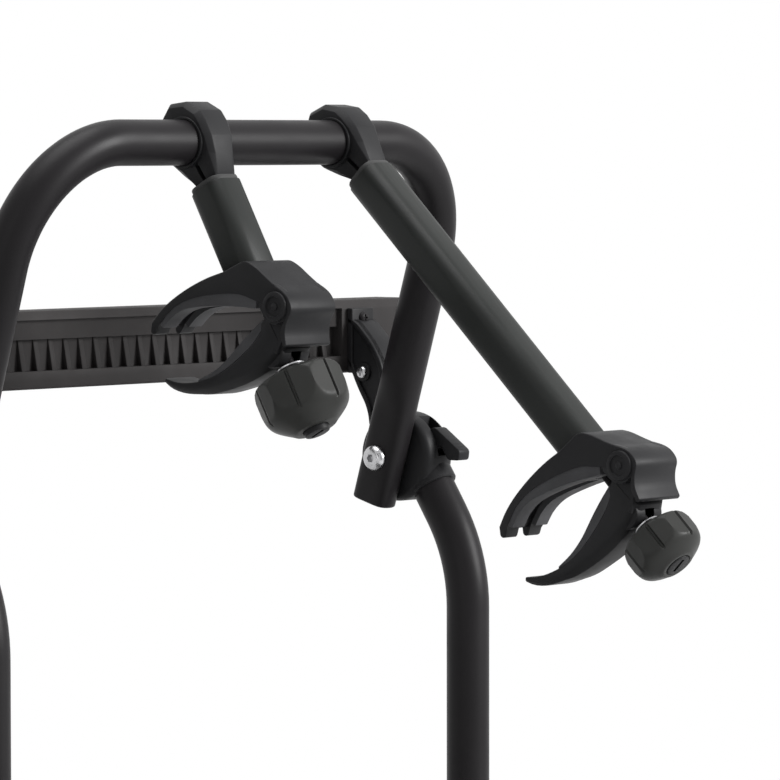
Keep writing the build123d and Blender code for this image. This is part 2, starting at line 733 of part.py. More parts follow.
beam_low = floor + beam_clear
beam_top = beam_low + beam_tall
beam_front = lower_y - tube_d / 2 - 3 - beam_gap
tray_low = beam_top + bracket_pad


def platform_beam(x):
    """Rectangular tube with a solid knuckle that rises to the hinge pin."""
    length = platform_back - beam_end + beam_front
    start = Plane(origin=(x, beam_front, beam_low + beam_tall / 2), z_dir=(0, -1, 0), x_dir=(1, 0, 0))
    section = RectangleRounded(beam_width, beam_tall, 3)
    section -= Rectangle(beam_width - 2 * beam_wall, beam_tall - 2 * beam_wall)
    beam = extrude(start * section, amount=length)
    rise = [(beam_front, beam_top), (beam_front - 34, beam_top), (hinge_y - 10, hinge_z - 8),
            (hinge_y + 10, hinge_z - 8)]
    knuckle = side_prism(rise, x, beam_width)
    knuckle += x_cylinder(12.5, x - beam_width / 2, x + beam_width / 2, hinge_y, hinge_z)
    knuckle -= x_cylinder(hinge_pin_r + turn_gap, x - beam_width, x + beam_width, hinge_y, hinge_z)
    return beam + knuckle


def platform_cross(back):
    """Tube between the beams, with its axis at the given distance behind the hub."""
    start = Plane(origin=(0, -back, beam_low + beam_tall / 2), x_dir=(0, 1, 0), z_dir=(1, 0, 0))
    section = RectangleRounded(cross_wide, cross_tall, 3)
    section -= Rectangle(cross_wide - 2 * beam_wall, cross_tall - 2 * beam_wall)
    return extrude(start * section, amount=hinge_x - beam_width / 2, both=True)


def tray_section(back):
    """Open channel with sloping sides and rolled in lips."""
    y = -back
    low = tray_low
    top = tray_low + tray_tall
    foot = tray_floor_width / 2
    half = tray_width / 2
    wall = tray_wall
    return [(y - half, top), (y - foot, low), (y + foot, low), (y + half, top), (y + half - 6, top),
            (y + half - 6, top - 2), (y + half - wall - 0.8, top - 2), (y + foot - wall, low + wall),
            (y - foot + wall, low + wall), (y - half + wall + 0.8, top - 2), (y - half + 6, top - 2),
            (y - half + 6, top)]


def wheel_tray(back):
    length = 2 * (tray_half_length - tray_cap)
    return side_prism(tray_section(back), 0, length)


def tray_end_cap(back, side):
    top = tray_low + tray_tall
    foot = tray_floor_width / 2
    half = tray_width / 2
    points = [(-back - half, top), (-back - foot, tray_low), (-back + foot, tray_low), (-back + half, top)]
    cap = side_prism(points, side * (tray_half_length - tray_cap / 2), tray_cap)
    return fillet(cap.edges().filter_by(Axis.X).sort_by(Axis.Z)[-2:], 4.0)


def tray_bracket(back, x):
    """Spacer block between beam and tray."""
    return Pos(x, -back, beam_top + bracket_pad / 2) * Box(beam_width + 12, tray_floor_width, bracket_pad)


def beam_end_cap(x):
    """Plastic end piece: plug in the beam, plate behind it and the foot that stands on the floor."""
    inner = beam_width - 2 * beam_wall
    middle = beam_low + beam_tall / 2
    rear = -platform_back
    plate = Pos(x, rear + beam_end / 2, (floor + beam_top) / 2) * Box(beam_width, beam_end, beam_top - floor)
    plate = chamfer(plate.faces().sort_by(Axis.Y)[0].edges(), 1.5)
    plug = Pos(x, rear + beam_end + 6, middle) * Box(inner, 12, beam_tall - 2 * beam_wall)
    foot = Pos(x, rear + beam_foot / 2, floor + beam_clear / 2) * Box(beam_width, beam_foot, beam_clear)
    foot = chamfer(foot.edges().group_by(Axis.Z)[0], 1.5)
    return plate + plug + foot


def both(shape):
    return [shape, mirrored(shape)]


save("bow_tube", bow_tube())
save("leg_ends", *both(leg_end()))
save("lower_tube", lower_tube())
for side, turn_over in (("right", lambda shape: shape), ("left", mirrored)):
    save(f"hub_housing_{side}", turn_over(hub_housing()))
    save(f"hub_lever_{side}", turn_over(hub_lever()))
    sign = 1 if side == "right" else -1
    save(f"platform_beam_{side}", platform_beam(sign * hinge_x))
save("hub_covers", *both(hub_cover()))
save("hub_bolts", *both(hub_bolt()))
save("hub_nuts", *both(hub_nut()))
save("lever_pins", *both(lever_pin()))
save("support_bar", support_bar())
save("bar_brackets", *both(bar_bracket()))
save("bar_pad", bar_pad())
save("bar_end_caps", *both(bar_end_cap()))
screw_levels = (bar_low + 6, bar_top - 13)
save("bar_screws", *[bar_screw(side, z) for side in (-1, 1) for z in screw_levels])
save("floor_feet", floor_foot(-foot_x), floor_foot(foot_x))
save("bumper_brackets", *both(bumper_bracket()))
save("bumper_pads", *both(bumper_pad()))
save("bumper_screws", *both(bumper_screw()))
save("hinge_brackets", hinge_bracket(hinge_x), hinge_bracket(-hinge_x))
save("hinge_pins", hinge_pin(hinge_x), hinge_pin(-hinge_x))
save("platform_crosses", platform_cross(cross_rear_back), platform_cross(cross_mid_back))
save("beam_end_caps", beam_end_cap(hinge_x), beam_end_cap(-hinge_x))
for name, back in tray_backs.items():
    save(f"tray_{name}", wheel_tray(back))
save("tray_end_caps", *[tray_end_cap(back, side) for back in tray_backs.values() for side in (-1, 1)])
save("tray_brackets", *[tray_bracket(back, x) for back in tray_backs.values() for x in (-hinge_x, hinge_x)])
for name in arms:
    arm_at = arm_place(name)
    claw_at = claw_place(name)
    save(f"bar_liner_{name}", arm_at * bar_liner())
    save(f"clamp_back_{name}", arm_at * clamp_half(-1))
    save(f"clamp_front_{name}", arm_at * clamp_half(1))
    save(f"clamp_screws_{name}", *[arm_at * clamp_screw(z) for z in (-clamp_screw_x, clamp_screw_x)])
    save(f"arm_collar_{name}", arm_at * arm_collar())
    save(f"arm_tube_{name}", arm_at * arm_tube(arms[name][2]))
    save(f"claw_body_{name}", claw_at * claw_body())
    save(f"claw_pad_{name}", claw_at * claw_pad())
    save(f"pivot_bolt_{name}", claw_at * pivot_bolt())
    save(f"lower_jaw_{name}", claw_at * lower_jaw())
    save(f"lower_pad_{name}", claw_at * lower_pad())
    save(f"jaw_rod_{name}", claw_at * jaw_rod())
    save(f"knob_washer_{name}", claw_at * knob_washer())
    save(f"knob_{name}", claw_at * knob())
    save(f"knob_cap_{name}", claw_at * knob_end_cap())
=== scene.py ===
"""Looks of the bike carrier: an add-on in layout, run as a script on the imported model."""

import json
from math import cos, degrees, pi, radians, sin, tan

import bmesh
import bpy
from bmesh.types import BMEdge, BMFace, BMVert
from bpy.props import FloatProperty, FloatVectorProperty, IntProperty, PointerProperty
from mathutils import Matrix, Vector
from mathutils.geometry import interpolate_bezier

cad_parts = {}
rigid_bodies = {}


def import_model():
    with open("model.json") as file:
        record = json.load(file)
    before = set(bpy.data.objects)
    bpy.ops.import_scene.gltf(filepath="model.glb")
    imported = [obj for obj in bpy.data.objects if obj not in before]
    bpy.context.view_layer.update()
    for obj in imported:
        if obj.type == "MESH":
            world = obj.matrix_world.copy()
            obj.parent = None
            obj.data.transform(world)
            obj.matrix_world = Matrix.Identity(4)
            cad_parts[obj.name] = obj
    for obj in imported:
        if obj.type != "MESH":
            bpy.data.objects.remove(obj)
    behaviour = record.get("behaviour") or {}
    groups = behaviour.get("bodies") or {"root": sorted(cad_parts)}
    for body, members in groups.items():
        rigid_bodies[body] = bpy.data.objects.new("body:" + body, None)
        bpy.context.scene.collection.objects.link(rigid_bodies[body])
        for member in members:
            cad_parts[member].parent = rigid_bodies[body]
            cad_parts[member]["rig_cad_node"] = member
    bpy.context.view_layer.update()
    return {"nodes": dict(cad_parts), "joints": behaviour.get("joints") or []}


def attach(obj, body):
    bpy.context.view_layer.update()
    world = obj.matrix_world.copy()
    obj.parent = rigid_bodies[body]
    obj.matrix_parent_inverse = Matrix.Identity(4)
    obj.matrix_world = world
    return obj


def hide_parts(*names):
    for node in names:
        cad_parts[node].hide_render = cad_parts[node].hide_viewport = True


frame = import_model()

bl_info = {
    "name": "Bike carrier looks",
    "version": (1, 0, 0),
    "blender": (4, 5, 0),
    "location": "View3D > Sidebar > Carrier",
    "description": "Builds the visible pieces, finishes and studio of a bike carrier",
    "category": "Object",
}

joints = {joint["name"]: joint for joint in frame["joints"]}
MM = Matrix.Scale(0.001, 4)


# Places. Shapes are drawn in millimetres and these set them in the carrier's frame in metres.
# ALONG_X, ALONG_Y and AGAINST_Y lay a shape's own z that way.

hub = Vector(joints["bow_fold"]["pos_m"])
FROM_HUB = Matrix.Translation(hub) @ MM
SIDE_ON = Matrix(((0, 0, 1), (1, 0, 0), (0, 1, 0))).to_4x4()
ALONG_X = Matrix.Rotation(radians(90), 4, "Y")
ALONG_Y = Matrix.Rotation(radians(-90), 4, "X")
AGAINST_Y = Matrix.Rotation(radians(90), 4, "X")
HERE = Matrix.Identity(4)
LEFT_HAND = Matrix.Scale(-1, 4, (1, 0, 0))
HANDS = {"right": HERE, "left": LEFT_HAND}


def moved(x, y, z):
    return Matrix.Translation((x, y, z))


def side_on(x=0.0, y=0.0, z=0.0):
    """Local x is the carrier's Y, local y its Z and local z its X, from the hub axis."""
    return FROM_HUB @ moved(x, y, z) @ SIDE_ON


def both_hands(place):
    """A place on the right side and its mirror on the left."""
    return [place, LEFT_HAND @ place]


def arm_frame(name):
    """Local x runs down the arm from the bar's axis and local z along the bar."""
    down = -Vector(joints[f"knob_travel_{name}"]["axis"])
    bar = Vector((1, 0, 0))
    turn = Matrix((down, bar.cross(down), bar)).transposed().to_4x4()
    return Matrix.Translation(joints[f"arm_swing_{name}"]["pos_m"]) @ turn @ MM


def arm_reach(name):
    """From the bar's axis down to the level of the jaw's pivot, in millimetres."""
    pivot = arm_frame(name).inverted() @ Vector(joints[f"jaw_close_{name}"]["pos_m"])
    return pivot.x


def claw_frame(name):
    return arm_frame(name) @ moved(arm_reach(name), 0, 0)


# Solids

def blend(a, b, share):
    return a + (b - a) * share


def of_kind(items, kind):
    """Those of the items that are vertices, edges or faces, as the kind says."""
    return [item for item in items if isinstance(item, kind)]


def middle_of(edge):
    return (edge.verts[0].co + edge.verts[1].co) / 2


def bevel(bm, geom, reach, steps, affect="EDGES", clamp=True):
    """Rounds edges or corners over a reach in millimetres."""
    bmesh.ops.bevel(bm, geom=geom, offset=reach, offset_type="OFFSET", segments=steps, profile=0.5,
                    affect=affect, material=-1, clamp_overlap=clamp)


def slice_across(bm, levels):
    """Adds a loop of edges at each level of y."""
    for level in levels:
        bmesh.ops.bisect_plane(bm, geom=bm.verts[:] + bm.edges[:] + bm.faces[:], dist=0.001,
                               plane_co=(0, level, 0), plane_no=(0, 1, 0))


def outline(points):
    """Flat face through the points. A third number is how far a corner's rounding reaches."""
    bm = bmesh.new()
    corners = [bm.verts.new((point[0], point[1], 0)) for point in points]
    bm.faces.new(corners)
    for corner, point in zip(corners, points):
        if len(point) > 2:
            bevel(bm, [corner], point[2], 4, "VERTICES")
    bmesh.ops.remove_doubles(bm, verts=bm.verts, dist=0.02)
    return bm


def prism(points, low, high, ease=0.0, steps=2, only=None):
    """The outline drawn out along z, with its rims eased where only() says so."""
    bm = outline(points)
    bmesh.ops.translate(bm, verts=bm.verts, vec=(0, 0, low))
    drawn = bmesh.ops.extrude_face_region(bm, geom=bm.faces[:], use_keep_orig=True)["geom"]
    bmesh.ops.translate(bm, verts=of_kind(drawn, BMVert), vec=(0, 0, high - low))
    bmesh.ops.recalc_face_normals(bm, faces=bm.faces)
    if ease:
        rims = [edge for edge in bm.edges if abs(edge.verts[0].co.z - edge.verts[1].co.z) < 1e-4
                and (only is None or only(middle_of(edge)))]
        bevel(bm, rims, ease, steps)
    return bm


def lathe(profile, steps=48):
    """Turns (radius, height) points about the z axis. Ends on the axis close it."""
    bm = bmesh.new()
    points = [bm.verts.new((radius, 0, height)) for radius, height in profile]
    lines = [bm.edges.new(pair) for pair in zip(points, points[1:])]
    bmesh.ops.spin(bm, geom=points + lines, cent=(0, 0, 0), axis=(0, 0, 1), angle=2 * pi,
                   steps=steps, use_merge=True, use_duplicate=False)
    bmesh.ops.remove_doubles(bm, verts=bm.verts, dist=0.002)
    bmesh.ops.recalc_face_normals(bm, faces=bm.faces)
    return bm


def disc(radius, low, high, ease, steps=40):
    """A turned disc with eased rims."""
    rim = [(radius - ease * (1 - sin(t)), ease * (1 - cos(t))) for t in (0, radians(45), radians(90))]
    lower = [(r, low + h) for r, h in rim]
    upper = [(r, high - h) for r, h in reversed(rim)]
    return lathe([(0, low)] + lower + upper + [(0, high)], steps)


def ring(inner, outer, low, high, ease):
    """A turned ring with eased rims."""
    return lathe([(inner, low + ease), (inner + ease, low), (outer - ease, low), (outer, low + ease),
                  (outer, high - ease), (outer - ease, high), (inner + ease, high),
                  (inner, high - ease), (inner, low + ease)])


def draw_edges(bm, edges, vec):
    """Draws an open ring of edges out along vec and returns the new ring."""
    drawn = bmesh.ops.extrude_edge_only(bm, edges=edges)["geom"]
    bmesh.ops.translate(bm, verts=of_kind(drawn, BMVert), vec=vec)
    return of_kind(drawn, BMEdge)


def bent_tube(corners, bends, radius):
    """Round tube along straight runs, each corner spun about its bend's centre."""
    sides, bend_step = 40, radians(3)
    bm = bmesh.new()
    corners = [Vector(corner) for corner in corners]
    heading = (corners[1] - corners[0]).normalized()
    start = Matrix.Translation(corners[0]) @ heading.to_track_quat("Z", "Y").to_matrix().to_4x4()
    first = bmesh.ops.create_circle(bm, segments=sides, radius=radius, cap_ends=False, matrix=start)
    opening = edges = list({edge for vert in first["verts"] for edge in vert.link_edges})
    here = corners[0]
    for corner, onward, bend in zip(corners[1:], corners[2:], bends):
        turned = (onward - corner).normalized()
        angle = heading.angle(turned)
        trim = bend * tan(angle / 2)
        edges = draw_edges(bm, edges, corner - heading * trim - here)
        axis = heading.cross(turned).normalized()
        centre = corner - heading * trim + axis.cross(heading) * bend
        spun = bmesh.ops.spin(bm, geom=edges, cent=centre, axis=axis, angle=angle,
                              steps=max(4, round(angle / bend_step)), use_duplicate=False)
        edges = of_kind(spun["geom_last"], BMEdge)
        here, heading = corner + turned * trim, turned
    edges = draw_edges(bm, edges, corners[-1] - here)
    bmesh.ops.edgeloop_fill(bm, edges=opening)
    bmesh.ops.edgeloop_fill(bm, edges=edges)
    bmesh.ops.remove_doubles(bm, verts=bm.verts, dist=0.001)
    bmesh.ops.recalc_face_normals(bm, faces=bm.faces)
    return bm


def place_key(point):
    """A point's numbers rounded off, so that a corner is found again by its place."""
    return tuple(round(c, 4) for c in point)


def loft(sections):
    """Draws the first section out through the others, which have as many corners."""
    bm = bmesh.new()
    end = start = bm.faces.new([bm.verts.new(point) for point in sections[0]])
    for section, onward in zip(sections, sections[1:]):
        order = {place_key(point): i for i, point in enumerate(section)}
        drawn = bmesh.ops.extrude_face_region(bm, geom=[end], use_keep_orig=True)["geom"]
        if end is not start:
            bmesh.ops.delete(bm, geom=[end], context="FACES_ONLY")
        end = of_kind(drawn, BMFace)[0]
        for vert in end.verts:
            vert.co = onward[order[place_key(vert.co)]]
    bmesh.ops.recalc_face_normals(bm, faces=bm.faces)
    return bm


def ease_edges(bm, reach, sharper, steps, only=lambda edge: True):
    """Rounds the edges that are sharper than the angle, where only() says so."""
    edges = [edge for edge in bm.edges if len(edge.link_faces) == 2
             and edge.calc_face_angle(0) > radians(sharper) and only(edge)]
    bevel(bm, edges, reach, steps)
    return bm


def tapered(points, width_at):
    """The outline as a piece whose half width changes along y."""
    bm = prism(points, -1, 1)
    slice_across(bm, range(15, 76, 12))
    bmesh.ops.remove_doubles(bm, verts=bm.verts, dist=0.3)
    for vert in bm.verts:
        vert.co.z *= width_at(vert.co.y)
    return bm


def near_line(edge, line, reach):
    """Whether an edge lies along the line, seen from the side."""
    return any((middle_of(edge).xy - point.xy).length < reach for point in line)


def eased(corners, reach):
    """A section's corners, each drawn as three points so that it's rounded."""
    section = []
    for i, corner in enumerate(corners):
        before, after = corners[i - 1], corners[(i + 1) % len(corners)]
        back = corner.lerp(before, min(reach / (before - corner).length, 0.35))
        onward = corner.lerp(after, min(reach / (after - corner).length, 0.35))
        section += [back, (back + onward + corner * 2) / 4, onward]
    return section


def smooth_line(points, count):
    """A smooth line through the points, as count points evenly spread."""
    points = [Vector(point).to_3d() for point in points]
    ends = [points[0] * 2 - points[1]] + points + [points[-1] * 2 - points[-2]]
    fine = []
    for before, a, b, after in zip(ends, ends[1:], ends[2:], ends[3:]):
        fine += interpolate_bezier(a, a + (b - before) / 6, b - (after - a) / 6, b, 24)[:-1]
    fine.append(points[-1])
    lengths = [0.0]
    for a, b in zip(fine, fine[1:]):
        lengths.append(lengths[-1] + (b - a).length)
    spread, index = [], 0
    for i in range(count):
        at = lengths[-1] * i / (count - 1)
        while index < len(fine) - 2 and lengths[index + 1] < at:
            index += 1
        share = (at - lengths[index]) / max(lengths[index + 1] - lengths[index], 1e-6)
        spread.append(fine[index].lerp(fine[index + 1], min(max(share, 0), 1)))
    return spread


def arc(radius, start, stop, count, x=0.0, y=0.0):
    """Corner points on an arc, in degrees."""
    turns = [radians(start + (stop - start) * i / (count - 1)) for i in range(count)]
    return [(x + radius * cos(t), y + radius * sin(t)) for t in turns]


def hexagon(radius):
    return arc(radius, 0, 300, 6)


def box(left, right, low, high):
    """Corners of an upright rectangle."""
    return [(left, low), (right, low), (right, high), (left, high)]


def rounded(across, along, corner):
    """Corners of a rectangle centred on the axis, each rounded."""
    a, b = across / 2, along / 2
    return [(-a, -b, corner), (a, -b, corner), (a, b, corner), (-a, b, corner)]


def bare_object(bm):
    """A throwaway object that holds a solid for a boolean."""
    mesh = bpy.data.meshes.new("cutting")
    bm.to_mesh(mesh)
    bm.free()
    held = bpy.data.objects.new("cutting", mesh)
    bpy.context.scene.collection.objects.link(held)
    return held


def cut(bm, *tools):
    """The solid less the tools, all drawn in the same place."""
    work = bare_object(bm)
    cutters = [bare_object(tool) for tool in tools]
    for cutter in cutters:
        step = work.modifiers.new("cut", "BOOLEAN")
        step.operation, step.solver, step.object = "DIFFERENCE", "EXACT", cutter
    ready = bpy.context.evaluated_depsgraph_get()
    mesh = bpy.data.meshes.new_from_object(work.evaluated_get(ready))
    result = bmesh.new()
    result.from_mesh(mesh)
    for held in [work, *cutters]:
        used = held.data
        bpy.data.objects.remove(held)
        bpy.data.meshes.remove(used)
    bpy.data.meshes.remove(mesh)
    bmesh.ops.remove_doubles(result, verts=result.verts, dist=0.002)
    return result


def placed(place, bm):
    """The solid itself, moved to a place."""
    bm.transform(place)
    return bm


def gather(*parts):
    """One mesh from (place, solid) pairs and from solids that are in place already."""
    whole = bmesh.new()
    for part in parts:
        place, bm = part if isinstance(part, tuple) else (HERE, part)
        bm.transform(place)
        if place.determinant() < 0:
            bmesh.ops.reverse_faces(bm, faces=bm.faces)
        mesh = bpy.data.meshes.new("part")
        bm.to_mesh(mesh)
        bm.free()
        whole.from_mesh(mesh)
        bpy.data.meshes.remove(mesh)
    return whole


def repeated(places, bm):
    """The solid once at each place, as one mesh."""
    return gather(*[(place, bm.copy()) for place in places])


def paired(place, bm):
    """The solid at a place on the right and its mirror on the left, as one mesh."""
    return repeated(both_hands(place), bm)


def show(name, bm, kind, body, *stands_for, slot=None, sharp=32):
    """Makes the piece, gives it its finish and sets it riding on its body."""
    old = bpy.data.objects.get(name)
    if old is not None and "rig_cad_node" not in old:
        bpy.data.objects.remove(old)
    mesh = bpy.data.meshes.new(name)
    bm.to_mesh(mesh)
    bm.free()
    mesh.polygons.foreach_set("use_smooth", [True] * len(mesh.polygons))
    mesh.set_sharp_from_angle(angle=radians(sharp))
    mesh.materials.append(finish_of(kind))
    piece = bpy.data.objects.new(name, mesh)
    bpy.context.scene.collection.objects.link(piece)
    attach(piece, body)
    if stands_for:
        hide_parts(*stands_for)


# Finishes

def set_inputs(node, **values):
    """Sets a node's inputs. An underscore stands for a space in an input's name."""
    for name, value in values.items():
        node.inputs[name.replace("_", " ")].default_value = value
    return node


def add_node(tree, kind, **values):
    return set_inputs(tree.nodes.new(f"ShaderNode{kind}"), **values)


def join(tree, *pairs):
    """Links each output to its input."""
    for output, into in pairs:
        tree.links.new(output, into)


def object_space(tree, stretch=(1, 1, 1)):
    """Object coordinates, stretched along each axis."""
    mapping = add_node(tree, "Mapping", Scale=stretch)
    join(tree, (add_node(tree, "TexCoord").outputs["Object"], mapping.inputs["Vector"]))
    return mapping.outputs["Vector"]


def noise(tree, space, scale, detail, onto):
    """A noise pattern that drives an input."""
    pattern = add_node(tree, "TexNoise", Scale=scale, Detail=detail)
    join(tree, (space, pattern.inputs["Vector"]), (pattern.outputs["Fac"], onto))


def mottle(tree, shader, space, colour, spread, scale):
    """Slow changes of the colour between a darker and a lighter tone."""
    ramp = add_node(tree, "ValToRGB")
    for stop, at, tone in zip(ramp.color_ramp.elements, (0.3, 0.7), (1 - spread, 1 + spread)):
        stop.position = at
        stop.color = (*[c * tone for c in colour], 1)
    noise(tree, space, scale, 5, ramp.inputs["Fac"])
    join(tree, (ramp.outputs["Color"], shader.inputs["Base Color"]))


def uneven_gloss(tree, shader, space, roughness, spread, scale):
    """Patches that shine a little more or less, as handled and dusty places do."""
    reach = add_node(tree, "MapRange", From_Min=0.3, From_Max=0.7,
                     To_Min=roughness - spread, To_Max=roughness + spread)
    noise(tree, space, scale, 6, reach.inputs["Value"])
    join(tree, (reach.outputs["Result"], shader.inputs["Roughness"]))


def grain(tree, shader, space, scale, height, detail):
    """A fine raised grain, of the height given in metres."""
    bump = add_node(tree, "Bump", Strength=1.0, Distance=height)
    noise(tree, space, scale, detail, bump.inputs["Height"])
    join(tree, (bump.outputs["Normal"], shader.inputs["Normal"]))


def surface(name, colour, roughness, clouds, patches, relief, stretch=None, metallic=0.0,
            specular=0.12):
    """A material with its three patterns. Clouds in the colour and patches in the gloss are
    (spread, scale), and relief is (scale, height, detail). Patches and relief take the stretch."""
    old = bpy.data.materials.get(name)
    if old is not None:
        bpy.data.materials.remove(old)
    material = bpy.data.materials.new(name)
    material.use_nodes = True
    tree = material.node_tree
    shader = set_inputs(tree.nodes["Principled BSDF"], Base_Color=(*colour, 1), Roughness=roughness,
                        Metallic=metallic, Specular_IOR_Level=specular)
    space = object_space(tree)
    lines = object_space(tree, stretch) if stretch else space
    mottle(tree, shader, space, colour, *clouds)
    uneven_gloss(tree, shader, lines, roughness, *patches)
    grain(tree, shader, lines, *relief)
    return material


def powder_coat(name, colour, roughness=0.42):
    """Satin powder coat with its fine orange peel."""
    return surface(name, colour, roughness, (0.12, 9), (0.05, 30), (850, 0.00003, 3))


def moulded(name, colour, roughness, scale=1500, height=0.00004):
    """Moulded plastic with a fine spark texture."""
    return surface(name, colour, roughness, (0.1, 22), (0.06, 60), (scale, height, 2))


def soft_rubber(name, colour, roughness=0.8):
    """Matt rubber with a dusty surface."""
    return surface(name, colour, roughness, (0.16, 45), (0.08, 90), (700, 0.00006, 4),
                   specular=0.1)


def drawn_metal(name, colour, roughness, stretch):
    """Coated profile with faint lines along the way it was drawn."""
    return surface(name, colour, roughness, (0.1, 14), (0.07, 240), (900, 0.00002, 2), stretch)


def plated_steel(name, colour):
    """Zinc plated steel with fine turning marks and cloudy plating."""
    return surface(name, colour, 0.28, (0.12, 160), (0.1, 260), (2400, 0.00002, 2),
                   metallic=1.0, specular=0.5)


# Each kind of finish: its slot, its name, what makes it, its colour and further values

FINISHES = {
    "tube": ("black_tube", "tube_coat", powder_coat, "tube"),
    "arm": ("grey_tube", "arm_coat", drawn_metal, "arm", 0.4, (1, 0.15, 0.15)),
    "neck": ("claw_plastic", "neck_plastic", moulded, "neck", 0.5),
    "claw": ("claw_plastic", "claw_plastic", moulded, "claw", 0.47),
    "pad": ("pad_rubber", "jaw_pad", soft_rubber, "pad", 0.62),
    "knob": ("knob_plastic", "knob_grip", moulded, "knob", 0.4, 1100, 0.00003),
    "housing": ("hub_plastic", "housing_plastic", moulded, "housing", 0.45),
    "bar": ("bar_plastic", "bar_plastic", moulded, "bar", 0.6, 1300, 0.00005),
    "rubber": ("black_rubber", "foot_rubber", soft_rubber, "rubber"),
    "steel": ("steel", "plated_steel", plated_steel, "steel"),
    "dark_steel": ("steel", "coated_steel", powder_coat, "tube", 0.5),
    "tray": ("tray_metal", "tray_coat", drawn_metal, "tray", 0.45, (0.05, 1, 1)),
}
finishes_made = {}


def finish_of(kind):
    """The finish of that kind, made when the first piece asks for it."""
    if kind not in finishes_made:
        _, name, make, colour, *further = FINISHES[kind]
        finishes_made[kind] = make(name, getattr(bpy.context.scene.carrier_colours, colour), *further)
    return finishes_made[kind]


def colour_property(name, description, default):
    return FloatVectorProperty(name=name, description=description, default=default, size=3,
                               subtype="COLOR", min=0, max=1)


def length_property(name, description, millimetres):
    return FloatProperty(name=name, description=description, default=millimetres / 1000,
                         unit="LENGTH", subtype="DISTANCE", precision=4)


class CarrierSizes(bpy.types.PropertyGroup):
    """Sizes that a user may want to change."""
    tube_radius: length_property("Tube radius", "Outer radius of the bow and lower tube", 15)
    bow_half_width: length_property("Bow half width", "Middle to the leg's axis", 213)
    bow_height: length_property("Bow height", "Hub axis to the bar's axis along the leg", 231)
    bow_bend: length_property("Bow bend", "Radius of the bow's two bends", 83)
    claw_width: length_property("Claw width", "Width of the claw at its cheeks", 44)
    jaw_width: length_property("Jaw width", "Width of the moving jaw at its eye", 33)
    knob_radius: length_property("Knob radius", "Largest radius of the short arm's knob", 30)
    small_knob_radius: length_property("Small knob radius", "The same on the long arm", 25)
    bar_half_length: length_property("Bar half length", "Middle to the support bar's end", 285)
    tray_half_length: length_property("Tray half length", "Middle to the wheel tray's end", 530)
    knob_lobes: IntProperty(name="Knob lobes", description="Lobes round the knob", default=6)


class CarrierColours(bpy.types.PropertyGroup):
    """Colours of the finishes, in linear light."""
    tube: colour_property("Tubes", "Powder coat of bow and frame", (0.0115, 0.0105, 0.0115))
    arm: colour_property("Arms", "Coat of the two holding arms", (0.022, 0.0235, 0.0225))
    neck: colour_property("Necks", "Plastic of the arms' necks", (0.05, 0.05, 0.05))
    claw: colour_property("Claws", "Plastic of claws and clamps", (0.0155, 0.0155, 0.0165))
    pad: colour_property("Pads", "Soft pads of the jaws", (0.062, 0.062, 0.065))
    knob: colour_property("Knobs", "Soft touch grip", (0.03, 0.0305, 0.029))
    housing: colour_property("Housings", "Plastic of hubs and small covers", (0.0135, 0.0135, 0.0145))
    bar: colour_property("Support bar", "Plastic of the support bar", (0.028, 0.026, 0.026))
    rubber: colour_property("Rubber", "Feet and facing pads", (0.018, 0.018, 0.018))
    steel: colour_property("Steel", "Bolts, rods and washers", (0.46, 0.46, 0.47))
    tray: colour_property("Trays", "Coat of the wheel trays", (0.014, 0.014, 0.015))


class CarrierStep:
    """Shared by the operators: their menu and undo."""
    bl_options = {"REGISTER", "UNDO"}


# Places that several pieces share, from the hub axis

HUB_FACE = 223.2
HUB_MIDDLE = HUB_FACE + 18
SLEEVE_Y, SLEEVE_SLOPE = -8, radians(33)
FRAME_Y, CROSSBAR_Z = -53, -483
LEG_FLAT = 10


# Bow and lower tube

class CARRIER_OT_bow(CarrierStep, bpy.types.Operator):
    """Bow tube in one run, pressed flat at both legs"""
    bl_idname = "carrier.bow"
    bl_label = "Bow"

    def press_legs(self, bm, half, radius):
        """Presses the round tube flat towards each leg's end, which makes it a little deeper."""
        flat_top, round_at, deepening = 30, 62, 0.03
        slice_across(bm, (flat_top, 37, 44, 51, 58, round_at))
        for vert in bm.verts:
            if vert.co.y < round_at:
                share = min((round_at - vert.co.y) / (round_at - flat_top), 1)
                share = share * share * (3 - 2 * share)
                axis = half if vert.co.x > 0 else -half
                out = vert.co.x - axis
                pressed = LEG_FLAT * (1 - (1 - min(abs(out) / radius, 1)) ** 2) * (1 if out > 0 else -1)
                vert.co.x = axis + out * (1 - share) + pressed * share
                vert.co.z *= 1 + deepening * share

    def execute(self, context):
        s = context.scene.carrier_sizes
        half, height, bend, radius = (1000 * v for v in (s.bow_half_width, s.bow_height, s.bow_bend,
                                                         s.tube_radius))
        tail, end_rim = -33, 1.6
        bm = bent_tube([(half, tail, 0), (half, height, 0), (-half, height, 0), (-half, tail, 0)],
                       [bend, bend], radius)
        self.press_legs(bm, half, radius)
        ends = [edge for edge in bm.edges if all(vert.co.y < tail + 0.01 for vert in edge.verts)]
        bevel(bm, ends, end_rim, 3, clamp=False)
        lean = Vector(joints["arm_swing_short"]["pos_m"]) - hub
        lean.x = 0
        lean.normalize()
        across = Vector((1, 0, 0))
        plane = Matrix((across, lean, across.cross(lean))).transposed().to_4x4()
        show("bow", gather((Matrix.Translation(hub) @ plane @ MM, bm)), "tube", "bow", "bow_tube",
             "leg_ends")
        return {"FINISHED"}


